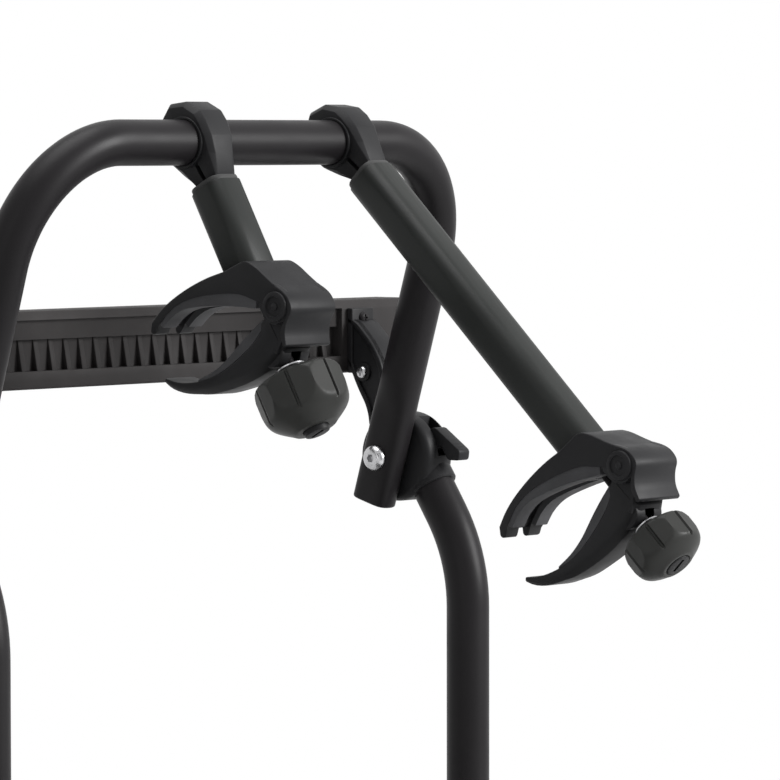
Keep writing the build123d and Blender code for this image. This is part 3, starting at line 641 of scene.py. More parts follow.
class CARRIER_OT_lower_tube(CarrierStep, bpy.types.Operator):
    """Lower tube from hub to hub round the crossbar"""
    bl_idname = "carrier.lower_tube"
    bl_label = "Lower tube"

    def execute(self, context):
        radius = 1000 * context.scene.carrier_sizes.tube_radius
        start, knee_bend, foot_bend = 18, 120, 80
        knee = (FRAME_Y - SLEEVE_Y) / tan(SLEEVE_SLOPE)
        top = (SLEEVE_Y - start * sin(SLEEVE_SLOPE), -start * cos(SLEEVE_SLOPE))
        right = [(HUB_MIDDLE, *top), (HUB_MIDDLE, FRAME_Y, knee), (HUB_MIDDLE, FRAME_Y, CROSSBAR_Z)]
        left = [(-x, y, z) for x, y, z in reversed(right)]
        bm = bent_tube(right + left, [knee_bend, foot_bend, foot_bend, knee_bend], radius)
        show("lower_loop", gather((FROM_HUB, bm)), "tube", "lower_frame", "lower_tube")
        return {"FINISHED"}


# Hubs

class CARRIER_OT_hubs(CarrierStep, bpy.types.Operator):
    """Hub housings with their sockets, domed covers and bolt heads"""
    bl_idname = "carrier.hubs"
    bl_label = "Hubs"

    def housing(self):
        """Drum with the lever's slot, and the sleeve that the lower tube sits in."""
        drum = lathe([(0, 0), (26.5, 0), (29.2, 0.9), (30.9, 2.7), (31.5, 5.2), (31.5, 21), (31.2, 23.6),
                      (30.5, 26), (0, 26)], 72)
        slot = prism(box(-13.5, -45, 1, 30), 11.5, 24.5)
        sleeve = lathe([(0, 11), (17.5, 11), (17.5, 25), (16.8, 26), (0, 26)])
        down = Vector((0, -sin(SLEEVE_SLOPE), -cos(SLEEVE_SLOPE)))
        turn = down.to_track_quat("Z", "X").to_matrix().to_4x4()
        sunk = FROM_HUB @ moved(HUB_MIDDLE, SLEEVE_Y, 0) @ turn
        return gather((side_on(HUB_FACE), cut(drum, slot)), (sunk, sleeve))

    def execute(self, context):
        for name, hand in HANDS.items():
            show(f"hub_drum_{name}", gather((hand, self.housing())), "housing", "lower_frame",
                 f"hub_housing_{name}")
        dome = lathe([(0, 26.2), (30.3, 26.2), (28.9, 29), (26.2, 32), (22.6, 34.6), (18, 36.6), (15, 37.5),
                      (14, 37), (12.8, 37.3), (11.8, 38.1), (0, 38.7)], 64)
        show("hub_shells", paired(side_on(HUB_FACE), dome), "housing", "lower_frame", "hub_covers")
        head = lathe([(0, 0), (9, 0), (9, -1), (8.4, -2.6), (7, -4), (5.2, -4.9), (3.6, -5), (0, -5)], 40)
        socket = prism(hexagon(3.1), -6, -2.4)
        bolt = gather(cut(head, socket), disc(5, 0, 54, 0.3, 24), prism(hexagon(8.7), 47, 53, 0.4))
        clearance = 0.2
        inner = 1000 * context.scene.carrier_sizes.bow_half_width - LEG_FLAT - clearance
        show("hub_bolt_heads", paired(side_on(inner), bolt), "steel", "lower_frame", "hub_bolts",
             "hub_nuts")
        return {"FINISHED"}


class CARRIER_OT_levers(CarrierStep, bpy.types.Operator):
    """Release levers that stand out of the housings"""
    bl_idname = "carrier.levers"
    bl_label = "Release levers"

    def execute(self, context):
        shape = [(-16, 13, 2), (-24.8, 20.8, 2), (-28.4, 20.9, 1.5), (-50.2, 5.5, 2), (-49.2, -1.6, 2),
                 (-39.3, -1.6, 2), (-32.9, 8, 2), (-24, 5, 1), (-19, 4, 1)]
        for name, hand in HANDS.items():
            lever = prism(shape, -6, 6, 1.4, 3)
            rib = prism([(-46, 6.8), (-44.6, 7.8), (-45.4, 9), (-46.8, 8)], -4.6, 4.6, 0.3, 3)
            place = side_on(HUB_MIDDLE)
            whole = gather((place, lever), repeated([place @ moved(3.2 * i, 2.25 * i, 0)
                                                     for i in range(4)], rib))
            show(f"release_lever_{name}", gather((hand, whole)), "housing", f"lever_{name}",
                 f"hub_lever_{name}")
        return {"FINISHED"}


# Support bar

BAR_BACK, BAR_FRONT, BAR_LOW, BAR_TOP = 43, 73, 58, 110
WEB_BOLT = (28.5, 58.8)


class CARRIER_OT_support_bar(CarrierStep, bpy.types.Operator):
    """Moulded support bar with its band, gussets, lip, end caps and rubber facing"""
    bl_idname = "carrier.support_bar"
    bl_label = "Support bar"

    def execute(self, context):
        half = 1000 * context.scene.carrier_sizes.bar_half_length
        section = [(BAR_BACK + 3, BAR_TOP, 1.5), (BAR_FRONT, BAR_TOP, 2), (BAR_FRONT, BAR_LOW, 2),
                   (BAR_BACK, BAR_LOW, 2), (BAR_BACK, BAR_TOP - 6, 1)]
        beam = prism(section, -half, half)
        recess = 218
        band = prism([(42, 70), (47, 70, 1), (47, 104, 1), (42, 104)], -recess, recess)
        beam = cut(beam, band, prism(box(42, 51.5, 70, 91), -recess, recess))
        rib = prism([(55, 69), (46.8, 69), (46.8, 70), (50.8, 91), (50.8, 92), (55, 92)], -2.3, 2.3, 0.7)
        pitch, count = 14.6, 14
        ribs = repeated([side_on(pitch * i) for i in range(-count, count + 1)], rib)
        ease_edges(beam, 0.6, 50, 2)
        show("support_beam", gather((side_on(), beam), ribs), "bar", "lower_frame", "support_bar")
        cap = prism(section, half, half + 5, 1.6, 3)
        show("beam_caps", paired(side_on(), cap), "bar", "lower_frame", "bar_end_caps")
        face = [(73, 63, 1), (81, 63, 3)]
        for groove in (73.5, 84, 94.5):
            face += [(81, groove - 2.5, 1), (79, groove - 1.5), (79, groove + 1.5), (81, groove + 2.5, 1)]
        face += [(81, 105, 3), (73, 105, 1)]
        show("bar_facing", gather((side_on(), prism(face, -240, 240, 1.5, 3))), "rubber",
             "lower_frame", "bar_pad")
        return {"FINISHED"}


class CARRIER_OT_brackets(CarrierStep, bpy.types.Operator):
    """Brackets between the hubs and the support bar, with their screws"""
    bl_idname = "carrier.brackets"
    bl_label = "Bar brackets"

    def execute(self, context):
        rear = [(9.5, 28), (9.5, 50, 6), (10.5, 64, 6), (20, 80, 6), (34.3, 94.2, 3), (43, 98)]
        front = [(34.4, 49.2, 8), (24.4, 33.4, 6), (22, 18)]
        plate = prism([(38, 58, 1), (43, 58, 1), (43, 104, 1), (38, 104, 1)], 0, 24, 1.2, 3)
        web = prism([*rear, (43, 66), (40.8, 63), *front], 2, 6)
        ridge = prism([*rear, (43, 94), (36, 90.6, 2), (23, 77.5, 6), (14, 62.5, 6), (13, 50, 4),
                       (13, 28)], 0, 24, 1.0, 3)
        toe = prism([(43, 66), (40.8, 63, 2), *front, (19, 20), (21.4, 35.4, 6), (31.4, 51, 8),
                     (38, 65.2, 2), (43, 70)], 0, 24, 1.0, 3)
        boss_at = moved(*WEB_BOLT, 0)
        clear = [cut(solid, disc(31.6, -20, 40, 0.2, 64)) for solid in (web, ridge, toe)]
        bracket = gather(*clear, plate, (boss_at, disc(6.5, 0, 20, 0.8, 32)))
        places = both_hands(side_on(HUB_FACE))
        show("beam_brackets", paired(side_on(HUB_FACE), bracket), "housing", "lower_frame",
             "bar_brackets")
        head = lathe([(0, 0), (4.3, 0), (4.2, 1.0), (3.6, 1.9), (2.4, 2.5), (0, 2.7)], 32)
        head = cut(head, prism(rounded(5, 1.2, 0.2), 1.3, 4), prism(rounded(1.2, 5, 0.2), 1.3, 4))
        facing = SIDE_ON.inverted() @ AGAINST_Y
        seats = [place @ moved(38, level, 12) @ facing
                 for place in places for level in (BAR_LOW + 14, BAR_TOP - 13)]
        outer = [place @ boss_at @ Matrix.Rotation(pi, 4, "Y") for place in places]
        show("bracket_screws", repeated(seats, head), "dark_steel", "lower_frame", "bar_screws")
        show("web_bolts", repeated(outer, head), "steel", "lower_frame")
        return {"FINISHED"}


# Holding arms

ARMS = ("short", "long")
BORE = 17.1


class CARRIER_OT_arms(CarrierStep, bpy.types.Operator):
    """Arm tubes of rounded square section and the short necks above them"""
    bl_idname = "carrier.arms"
    bl_label = "Holding arms"

    def execute(self, context):
        for name in ARMS:
            place = arm_frame(name) @ ALONG_X
            tube = prism(rounded(30, 28, 9), 33.5, arm_reach(name) - 33, 0.5)
            show(f"arm_{name}_profile", gather((place, tube)), "arm", f"arm_{name}",
                 f"arm_tube_{name}")
            neck = prism(rounded(28, 26, 8), 30, 34, 0.8)
            show(f"arm_{name}_neck", gather((place, neck)), "neck", f"arm_{name}",
                 f"arm_collar_{name}")
        return {"FINISHED"}


class CARRIER_OT_clamps(CarrierStep, bpy.types.Operator):
    """Faceted clamp halves round the bar, with the bush and screws between them"""
    bl_idname = "carrier.clamps"
    bl_label = "Bar clamps"

    def half_clamp(self, outer, bore_arc):
        """Outline drawn along the bar, drawn in at both rims and narrowed towards its foot."""
        rim_half, belt_half, drawn_in, wall = 14.5, 10.3, 3.4, 1.1
        foot, foot_narrowing = 30, 10 / 29
        rim = []
        for point in outer:
            far = Vector(point).length
            pull = min(drawn_in, max(far - BORE - wall, 0)) if point[0] < foot - 1 else 0
            rim.append(Vector(point) * (1 - pull / far))
        sections = [[Vector((*point[:2], level)) for point in [*line, *bore_arc]]
                    for level, line in ((-rim_half, rim), (-belt_half, outer), (belt_half, outer),
                                        (rim_half, rim))]
        solid = loft(sections)
        for vert in solid.verts:
            vert.co.z *= 1 - foot_narrowing * max(vert.co.x, 0) / foot
        return ease_edges(solid, 0.6, 14, 2,
                          lambda edge: all(vert.co.xy.length > BORE + 0.5 for vert in edge.verts))

    def execute(self, context):
        back = [(-28.8, 0), (-23.4, -13.1), (-13, -20.5), (-4.5, -21.8), (6, -21.2), (17, -17.5),
                (30, -11.5), (30, -3)]
        front = [(30, 0), (30, 7), (18, 13.5), (7, 18.2), (-4, 19.6), (-14, 17.6), (-24, 10), (-28.8, 0)]
        across = [moved(24.5, 0, side) @ ALONG_Y for side in (-5, 5)]
        head = cut(disc(2.9, 5.6, 9, 0.3, 28), prism(hexagon(1.5), 7.4, 10))
        screw = gather(head, disc(1.8, -9, 6, 0.2, 20))
        for name in ARMS:
            place = arm_frame(name)
            rear = self.half_clamp(back, arc(BORE, -10, -180, 16))
            wells = [placed(seat, disc(3.1, 5.4, 22, 0.1, 28)) for seat in across]
            near = cut(self.half_clamp(front, arc(BORE, 180, 0, 16)), *wells)
            show(f"clamp_{name}_rear", gather((place, rear)), "claw", f"arm_{name}",
                 f"clamp_back_{name}", sharp=20)
            show(f"clamp_{name}_fore", gather((place, near)), "claw", f"arm_{name}",
                 f"clamp_front_{name}", sharp=20)
            show(f"clamp_{name}_bolts", repeated([place @ seat for seat in across], screw),
                 "dark_steel", f"arm_{name}", f"clamp_screws_{name}")
            bush = ring(15.05, 17.05, -15, 15, 0.4)
            show(f"bush_{name}", gather((place, bush)), "housing", f"slide_{name}",
                 f"bar_liner_{name}")
        return {"FINISHED"}


# Claws, drawn from the level of the pivot on the arm's axis

PIVOT_Y = -25
PIVOT = moved(0, PIVOT_Y, 0)
TAPER_START, TIP_LEVEL = 15, 86
TIP_HALF, JAW_TIP_HALF, PAD_TIP_HALF, PAD_STEP = 18.5, 14.5, 14, 0.4
CHANNEL_HALF, SLOT_HALF = 6, 4.8
JAW_SLOT = [(-14, -5.2), (3, -5.2), (40, -13), (40, 9), (3, 5.4), (-14, 5.4)]
UPPER_OUTER = [(-41, 4), (-44.5, 20), (-46.6, 37), (-47, 54), (-45.6, 67), (-42.6, 78)]
UPPER_LINE = [(-11, -12), (-22.5, 0), (-33.5, 22), (-40.3, 43), (-41.3, 58), (-38, 72)]
UPPER_FACE = [(-7, -9), (-18.5, 9.5), (-28.5, 28.5), (-36, 47), (-37, 60), (-34.5, 70.5)]
UPPER_BACK = [(-6, -15), (-6, -31), (-8, -33.5), (-18, -28, 7), (-31, -22, 4), (-39, -16, 4)]
GROOVE = [(-15, 8), (-31, 17), (-38.5, 26), (-41.3, 37), (-42.5, 48), (-42.3, 58), (-40.8, 68),
          (-37.5, 80), (-34, 92), (-15, 92)]
LOWER_OUTER = [(24, -12), (28, -3), (29.6, 10), (27.8, 31), (21.4, 56), (15.2, 69), (8.8, 80),
               (1.6, 87.6), (-4.4, 90.6)]
LOWER_LINE = [(0, -11), (3.5, -5), (8.5, 6), (11.5, 22), (12.5, 40), (10.5, 56), (6.2, 69), (0.4, 80),
              (-6.4, 88)]
LOWER_FACE = [(0, -6), (2, 7), (4.6, 20), (8, 36), (8.8, 50), (7.4, 63)]
LOWER_BACK = [(3, -6), (8.5, 6), (11.5, 22), (12.5, 40), (11, 54), (8.2, 64)]


def narrowing(half, tip, less=0.0):
    """Half width that goes from its start to its tip along y, less a small step."""
    return lambda y: blend(half, tip, max(0, (y - TAPER_START) / (TIP_LEVEL - TAPER_START))) - less


def lining(back, face, count, width_at, reach, *slots):
    """Soft pad between its back and its face, with the face's rims eased."""
    back, face = smooth_line(back, count), smooth_line(face, count)
    pad = tapered([point.xy for point in back] + [point.xy for point in reversed(face)], width_at)
    ease_edges(pad, 1.0, 50, 3, lambda edge: near_line(edge, face, reach))
    return cut(pad, *slots)


class CARRIER_OT_claws(CarrierStep, bpy.types.Operator):
    """Claws: fixed jaw, cheeks and shell, moving jaw, soft pads, pivot heads, rod and washer"""
    bl_idname = "carrier.claws"
    bl_label = "Claws"

    def fixed_jaw(self, width):
        """Horn and socket block in one, with a channel that leaves two prongs at the tip."""
        outer = smooth_line(UPPER_OUTER, 18)
        inner = smooth_line(UPPER_LINE, 20)
        shape = [point.xy for point in outer] + [(-37.2, 82.4, 2), (-34, 80, 2)]
        shape += [point.xy for point in reversed(inner)] + UPPER_BACK
        bm = tapered(shape, narrowing(width / 2, TIP_HALF))
        ease_edges(bm, 2.0, 60, 4, lambda edge: not near_line(edge, inner, 2.6)
                   and abs(edge.verts[0].co.z - edge.verts[1].co.z) < 2)
        notch = prism(box(-60, -20, 76, 95), -CHANNEL_HALF, CHANNEL_HALF)
        return cut(bm, prism(GROOVE, -CHANNEL_HALF, CHANNEL_HALF), notch)

    def fixed_pad(self, width):
        """Soft lining of the fixed jaw, nearly flush with its sides and open along the middle."""
        rod_slot = prism(box(-50, 10, -12, 6), -SLOT_HALF, SLOT_HALF)
        return lining(UPPER_LINE, UPPER_FACE, 20, narrowing(width / 2, TIP_HALF, PAD_STEP), 2.4,
                      prism(GROOVE, -CHANNEL_HALF, CHANNEL_HALF), rod_slot)

    def shell(self, width):
        """Curved plate behind the eye, and the cheeks beside it."""
        half = width / 2
        shell = prism([(-13, -30.6), (-6, -35.2, 2), (2, -38, 5), (9, -35.4, 5), (12.2, -29, 3),
                       (18, -23.4, 3), (26, -20.6, 1), (26, -17.6, 1), (17, -19.6, 3), (10.4, -26.5, 2),
                       (7, -31.5, 3), (0, -35, 3), (-9.8, -29, 2)], -half - 0.2, half + 0.2, 1.5, 3)
        cheek = [(-15, -29.6, 2), (-6, -35.4, 3), (2, -37.4, 4), (8, -34.6, 4), (11.4, -28.6, 3),
                 (10, -17.5, 3), (3, -12.6, 3), (-9, -12, 3), (-14, -16, 2)]
        return gather(shell, prism(cheek, 0.15 - half, -16.8, 0.6), prism(cheek, 16.8, half - 0.15, 0.6))

    def pivot_heads(self, width):
        """Head with a ring recess and a pin's rounded end, one on each cheek."""
        half = width / 2
        head = [(0, 2.6), (1.6, 2.4), (2.4, 1.9), (2.7, 1.2), (6.3, 1.2), (6.8, 2.3), (8.6, 2.3),
                (9.5, 1.9), (9.8, 1.2), (9.8, -1), (0, -1)]
        head = lathe([(radius, half + level) for radius, level in head])
        ends = repeated([PIVOT, PIVOT @ Matrix.Rotation(pi, 4, "X")], head)
        return gather(ends, (PIVOT, disc(4, -half, half, 0.3, 24)))

    def moving_jaw(self, width):
        """Keel shaped jaw with its eye, neck, rod slot and the crown under the washer."""
        count, wide_until, rounding = 30, 0.12, 1.3
        sections = []
        for i, (outer, inner) in enumerate(zip(smooth_line(LOWER_OUTER, count),
                                               smooth_line(LOWER_LINE, count))):
            share = i / (count - 1)
            narrowed = max(0, (share - wide_until) / (1 - wide_until)) ** 1.25
            half = blend(width / 2, JAW_TIP_HALF, narrowed)
            deep = (outer - inner).length
            keel = min(5.4, deep * 0.42)
            across = (outer - inner).normalized()
            corners = [(-half, 0), (-half, deep - keel), (-half + keel * 0.9, deep),
                       (half - keel * 0.9, deep), (half, deep - keel), (half, 0)]
            corners = [inner + across * level + Vector((0, 0, side)) for side, level in corners]
            sections.append(eased(corners, rounding))
        last = sections[-1]
        middle = sum(last, Vector()) / len(last)
        ahead = (middle - sum(sections[-2], Vector()) / len(last)).normalized()
        for shrink, onward in ((0.86, 0.9), (0.55, 1.6)):
            sections.append([middle + (point - middle) * shrink + ahead * onward for point in last])
        slot = prism(JAW_SLOT, -SLOT_HALF, SLOT_HALF)
        half = width / 2
        eye = placed(PIVOT, disc(9.5, -half, half, 0.5, 48))
        neck = prism([(-6, -20), (8, -29), (19, -15, 3), (25, -6), (10, 2), (1, -4), (-2, -14)],
                     -half + 0.3, half - 0.3, 0.8)
        crown = placed(moved(20, 0, 0), disc(10.5, -13.5, 13.5, 1.2, 48))
        return gather(*[cut(solid, slot.copy()) for solid in (loft(sections), eye, neck, crown)])

    def moving_pad(self, width):
        return lining(LOWER_BACK, LOWER_FACE, 18, narrowing(width / 2, PAD_TIP_HALF, PAD_STEP), 2.2,
                      prism(box(-16, 24, -10, 6), -SLOT_HALF, SLOT_HALF))

    def threaded_rod(self, end):
        """Rod with its thread as ridges, from the square head in the arm to the knob."""
        core, crest, pitch = 3.55, 4.0, 1.25
        profile, level = [(0, -39), (core, -39)], -38.5
        while level < end - 1:
            profile += [(core, level), (crest, level + 0.35), (crest, level + 0.55), (core, level + 0.9)]
            level += pitch
        return lathe([*profile, (3.4, end), (0, end)], 28)

    def execute(self, context):
        sizes = context.scene.carrier_sizes
        width, jaw = 1000 * sizes.claw_width, 1000 * sizes.jaw_width
        for name in ARMS:
            place = claw_frame(name)
            along = place @ ALONG_X
            body = gather((place, self.fixed_jaw(width)), (place, self.shell(width)))
            show(f"claw_{name}_body", body, "claw", f"arm_{name}", f"claw_body_{name}", sharp=28)
            show(f"claw_{name}_lining", gather((place, self.fixed_pad(width))), "pad", f"arm_{name}",
                 f"claw_pad_{name}")
            show(f"claw_{name}_pivot", gather((place, self.pivot_heads(width))), "claw", f"arm_{name}",
                 f"pivot_bolt_{name}")
            show(f"jaw_{name}_beam", gather((place, self.moving_jaw(jaw))), "claw", f"jaw_{name}",
                 f"lower_jaw_{name}", sharp=24)
            show(f"jaw_{name}_lining", gather((place, self.moving_pad(jaw))), "pad", f"jaw_{name}",
                 f"lower_pad_{name}")
            head = prism(rounded(14, 14, 1), -39, -33, 0.5)
            rod = gather((along, self.threaded_rod(55)), (along, head))
            show(f"rod_{name}_thread", rod, "dark_steel", f"arm_{name}", f"jaw_rod_{name}")
            show(f"washer_{name}_plate", gather((along, ring(4.05, 9.6, 31.2, 32.8, 0.4))), "steel",
                 f"washer_{name}", f"knob_washer_{name}")
        return {"FINISHED"}


class CARRIER_OT_knobs(CarrierStep, bpy.types.Operator):
    """Six sided knobs with a groove in each side, a rounded end and a slotted cap"""
    bl_idname = "carrier.knobs"
    bl_label = "Knobs"

    def grip(self, radius, length, lobes):
        """Turned bowl whose belt is cut flat between the ridges and grooved halfway."""
        low_bowl, tip = 15, 0.483 * radius
        belt, bulge = blend(low_bowl, length, 0.25), blend(low_bowl, length, 0.64)
        shoulder = smooth_line([(0.83 * radius, 5.2), (0.94 * radius, 7), (radius, 11)], 7)
        bowl = smooth_line([(radius, belt - 4), (radius, belt), (0.893 * radius, bulge), (tip, length)], 22)
        shape = [(0, 0), (9.4, 0), (10, 0.6), (10, 2.6), (10.8, 3.2), (0.8 * radius, 4.9)]
        shape += [tuple(point.xy) for point in shoulder + bowl]
        shape += [(tip - 0.9, length + 0.3), (9.4, length + 0.2), (8.8, length - 0.4),
                  (8.8, length - 1.4), (0, length - 1.4)]
        bm = lathe(shape, lobes * 48)
        share, neck, groove_deep, groove_half = pi / lobes, 11, 1.8, 2.6
        low = Vector((0.944 * radius, 0))
        ridge = Vector((radius * cos(share), radius * sin(share)))
        for vert in bm.verts:
            out = vert.co.xy.length
            if out < neck or vert.co.z > length:
                continue
            off = (Vector((1, 0)).angle_signed(vert.co.xy) * -1 - share) % (2 * share)
            off = min(off, 2 * share - off)
            across = Vector((cos(off), sin(off)))
            limit = low.cross(ridge - low) / across.cross(ridge - low)
            limit -= groove_deep * min(max(groove_half - degrees(off) * radius / 30, 0), 1)
            vert.co.xy *= min(1, limit / out)
        return bm

    def execute(self, context):
        sizes = context.scene.carrier_sizes
        for name, radius, length, proud in (("short", sizes.knob_radius, 43, 3.5),
                                            ("long", sizes.small_knob_radius, 33, 0.8)):
            place = claw_frame(name) @ moved(33, 0, 0) @ ALONG_X
            show(f"knob_{name}_grip",
                 gather((place, self.grip(1000 * radius, length, sizes.knob_lobes))), "knob",
                 f"grip_{name}", f"knob_{name}", sharp=30)
            cap = disc(8.5, length - 3, length + proud, 0.7)
            notch = prism(box(-1.4, 1.4, -5.6, 5.6), length + proud - 1.8, length + proud + 2)
            show(f"knob_{name}_end", gather((place, cut(cap, notch))), "claw", f"grip_{name}",
                 f"knob_cap_{name}", slot="knob_plastic")
        return {"FINISHED"}


# Wheel platform

FLOOR = -510
BEAM_LOW, BEAM_TOP = FLOOR + 15, FLOOR + 55
TRAY_LOW = FLOOR + 60
TRAY_TOP = TRAY_LOW + 35
TRAYS = {"near": -135, "far": -295}
HINGE_X = 140
HINGE = (-81, -413)
BEAM_HALF = 12.5


class CARRIER_OT_platform(CarrierStep, bpy.types.Operator):
    """Platform beams with hinge knuckles, cross tubes, spacer blocks and plastic ends"""
    bl_idname = "carrier.platform"
    bl_label = "Platform"

    def execute(self, context):
        front, rear, wall, middle = -75, -381, 4, (BEAM_LOW + BEAM_TOP) / 2
        for name, hand in HANDS.items():
            beam = prism(rounded(2 * BEAM_HALF, 40, 3), 0, front - rear, 0.4)
            lengthways = FROM_HUB @ moved(HINGE_X, front, middle) @ AGAINST_Y
            rise = prism([(front, BEAM_TOP - 1), (front - 34, BEAM_TOP - 1), (HINGE[0] - 11, HINGE[1] - 4),
                          (HINGE[0] + 11, HINGE[1] - 4)], -BEAM_HALF, BEAM_HALF, 0.8)
            eye = disc(BEAM_HALF, -BEAM_HALF, BEAM_HALF, 0.8)
            at_eye = side_on(HINGE_X) @ moved(*HINGE, 0)
            solids = gather((lengthways, beam), (side_on(HINGE_X), rise), (at_eye, eye))
            show(f"beam_{name}", gather((hand, solids)), "tube", "platform", f"platform_beam_{name}")
        cross = prism(rounded(25, 30, 3), -HINGE_X + BEAM_HALF, HINGE_X - BEAM_HALF)
        crosses = repeated([side_on(0, back, middle) for back in (-362, -215)], cross)
        show("cross_tubes", crosses, "tube", "platform", "platform_crosses")
        plate = prism([(rear - wall, FLOOR, 1), (rear, FLOOR), (rear, BEAM_TOP),
                       (rear - wall, BEAM_TOP, 3)], -BEAM_HALF, BEAM_HALF, 1.0)
        foot = prism([(rear - wall, FLOOR, 2), (-340, FLOOR, 4), (-340, BEAM_LOW), (rear - wall, BEAM_LOW)],
                     -BEAM_HALF, BEAM_HALF, 1.2)
        sides = [side_on(-HINGE_X), side_on(HINGE_X)]
        ends = gather(*[(place, solid.copy()) for place in sides for solid in (plate, foot)])
        block = prism([(-20, BEAM_TOP), (20, BEAM_TOP), (20, TRAY_LOW, 1), (-20, TRAY_LOW, 1)],
                      -18.5, 18.5, 0.8)
        blocks = repeated([place @ moved(y, 0, 0) for place in sides
                           for y in TRAYS.values()], block)
        show("beam_ends", ends, "housing", "platform", "beam_end_caps")
        show("tray_blocks", blocks, "housing", "platform", "tray_brackets")
        return {"FINISHED"}


class CARRIER_OT_trays(CarrierStep, bpy.types.Operator):
    """Wheel trays with their lips and rounded end caps"""
    bl_idname = "carrier.trays"
    bl_label = "Wheel trays"

    def execute(self, context):
        half = 1000 * context.scene.carrier_sizes.tray_half_length
        right = [(20, TRAY_LOW, 2), (31, TRAY_TOP, 1), (25, TRAY_TOP, 0.6), (25, TRAY_TOP - 2, 0.6),
                 (27.7, TRAY_TOP - 2), (17.5, TRAY_LOW + 2.5, 1.5)]
        section = right + [(-x, *further) for x, *further in reversed(right)]
        caps = []
        for name, y in TRAYS.items():
            place = side_on() @ moved(y, 0, 0)
            channel = prism(section, -half + 4, half - 4)
            show(f"tray_{name}_channel", gather((place, channel)), "tray", "platform", f"tray_{name}")
            cap = prism([(-31, TRAY_TOP, 4), (-20, TRAY_LOW, 3), (20, TRAY_LOW, 3), (31, TRAY_TOP, 4)],
                        half - 4, half, 1.4, 3)
            caps.append(paired(place, cap))
        show("tray_ends", gather(*caps), "housing", "platform", "tray_end_caps")
        return {"FINISHED"}


# Lower fittings

class CARRIER_OT_fittings(CarrierStep, bpy.types.Operator):
    """Bumper rests, hinge brackets with pins, and the feet under the crossbar"""
    bl_idname = "carrier.fittings"
    bl_label = "Lower fittings"

    def execute(self, context):
        centre = FROM_HUB @ moved(HUB_MIDDLE, FRAME_Y, FLOOR + 190)
        facing = centre @ ALONG_Y
        collar = prism(rounded(44, 44, 8), -18, 18, 1.6, 3)
        neck = placed(moved(0, 41, 0), prism(rounded(26, 44, 4), -11, 11, 1.2, 3))
        plate = prism(rounded(60, 46, 6), 59, 65, 1.2)
        solids = gather((centre, collar), (centre, neck), (facing, plate))
        show("rest_blocks", paired(HERE, solids), "housing", "lower_frame", "bumper_brackets")
        pad = prism(rounded(70, 56, 8), 65, 91, 6, 4, lambda middle: middle.z > 80)
        show("rest_pads", paired(facing, pad), "rubber", "lower_frame", "bumper_pads")
        tail = centre @ moved(0, -22, 0) @ AGAINST_Y
        show("rest_screws", paired(tail, prism(hexagon(6.5), 0, 5, 0.6)), "steel", "lower_frame",
             "bumper_screws")
        saddle = prism([(-75, FLOOR, 3), (-31, FLOOR, 3), (-34, FLOOR + 27, 2), (-72, FLOOR + 27, 2)],
                       -20, 20, 1.5, 3)
        show("feet", repeated([side_on(-70), side_on(70)], saddle), "rubber", "lower_frame",
             "floor_feet")
        self.hinges()
        return {"FINISHED"}

    def hinges(self):
        """Two plates each side of a knuckle, joined by the ring on the crossbar."""
        y, z = HINGE
        shape = [(FRAME_Y + 18, -494, 8), (FRAME_Y - 12, -503, 8), (FRAME_Y - 22, -478, 4), (y - 15, z, 4),
                 (y - 9, z + 13, 7), (y + 9, z + 13, 7), (y + 15, z, 4), (FRAME_Y + 21, -478, 4)]
        halfway = 0.52
        hole_at = moved(blend(FRAME_Y, y, halfway), blend(CROSSBAR_Z, z, halfway), 0)
        plates = [cut(prism(shape, low, low + 5, 0.8), placed(hole_at, disc(7, -20, 20, 0.1, 32)))
                  for low in (-17.7, 12.7)]
        knuckle = placed(moved(FRAME_Y, CROSSBAR_Z, 0), ring(14.6, 18, -12.7, 12.7, 0.3))
        bracket = gather(*plates, knuckle)
        show("hinge_plates", paired(side_on(HINGE_X), bracket), "dark_steel", "lower_frame",
             "hinge_brackets", slot="dark_steel")
        pin = gather(disc(5, -17.7, 17.7, 0.3, 32), disc(8, 17.7, 20.7, 0.8, 32),
                     disc(7, -19.7, -17.7, 0.5, 32))
        show("hinge_rods", paired(side_on(HINGE_X) @ moved(*HINGE, 0), pin), "steel",
             "lower_frame", "hinge_pins")


class CARRIER_OT_kept_nodes(CarrierStep, bpy.types.Operator):
    """Finish for the lever pins, which keep their own shape"""
    bl_idname = "carrier.kept_nodes"
    bl_label = "Lever pins"

    def execute(self, context):
        held = frame["nodes"]["lever_pins"].data.materials
        held.clear()
        held.append(finish_of("steel"))
        return {"FINISHED"}


# Studio

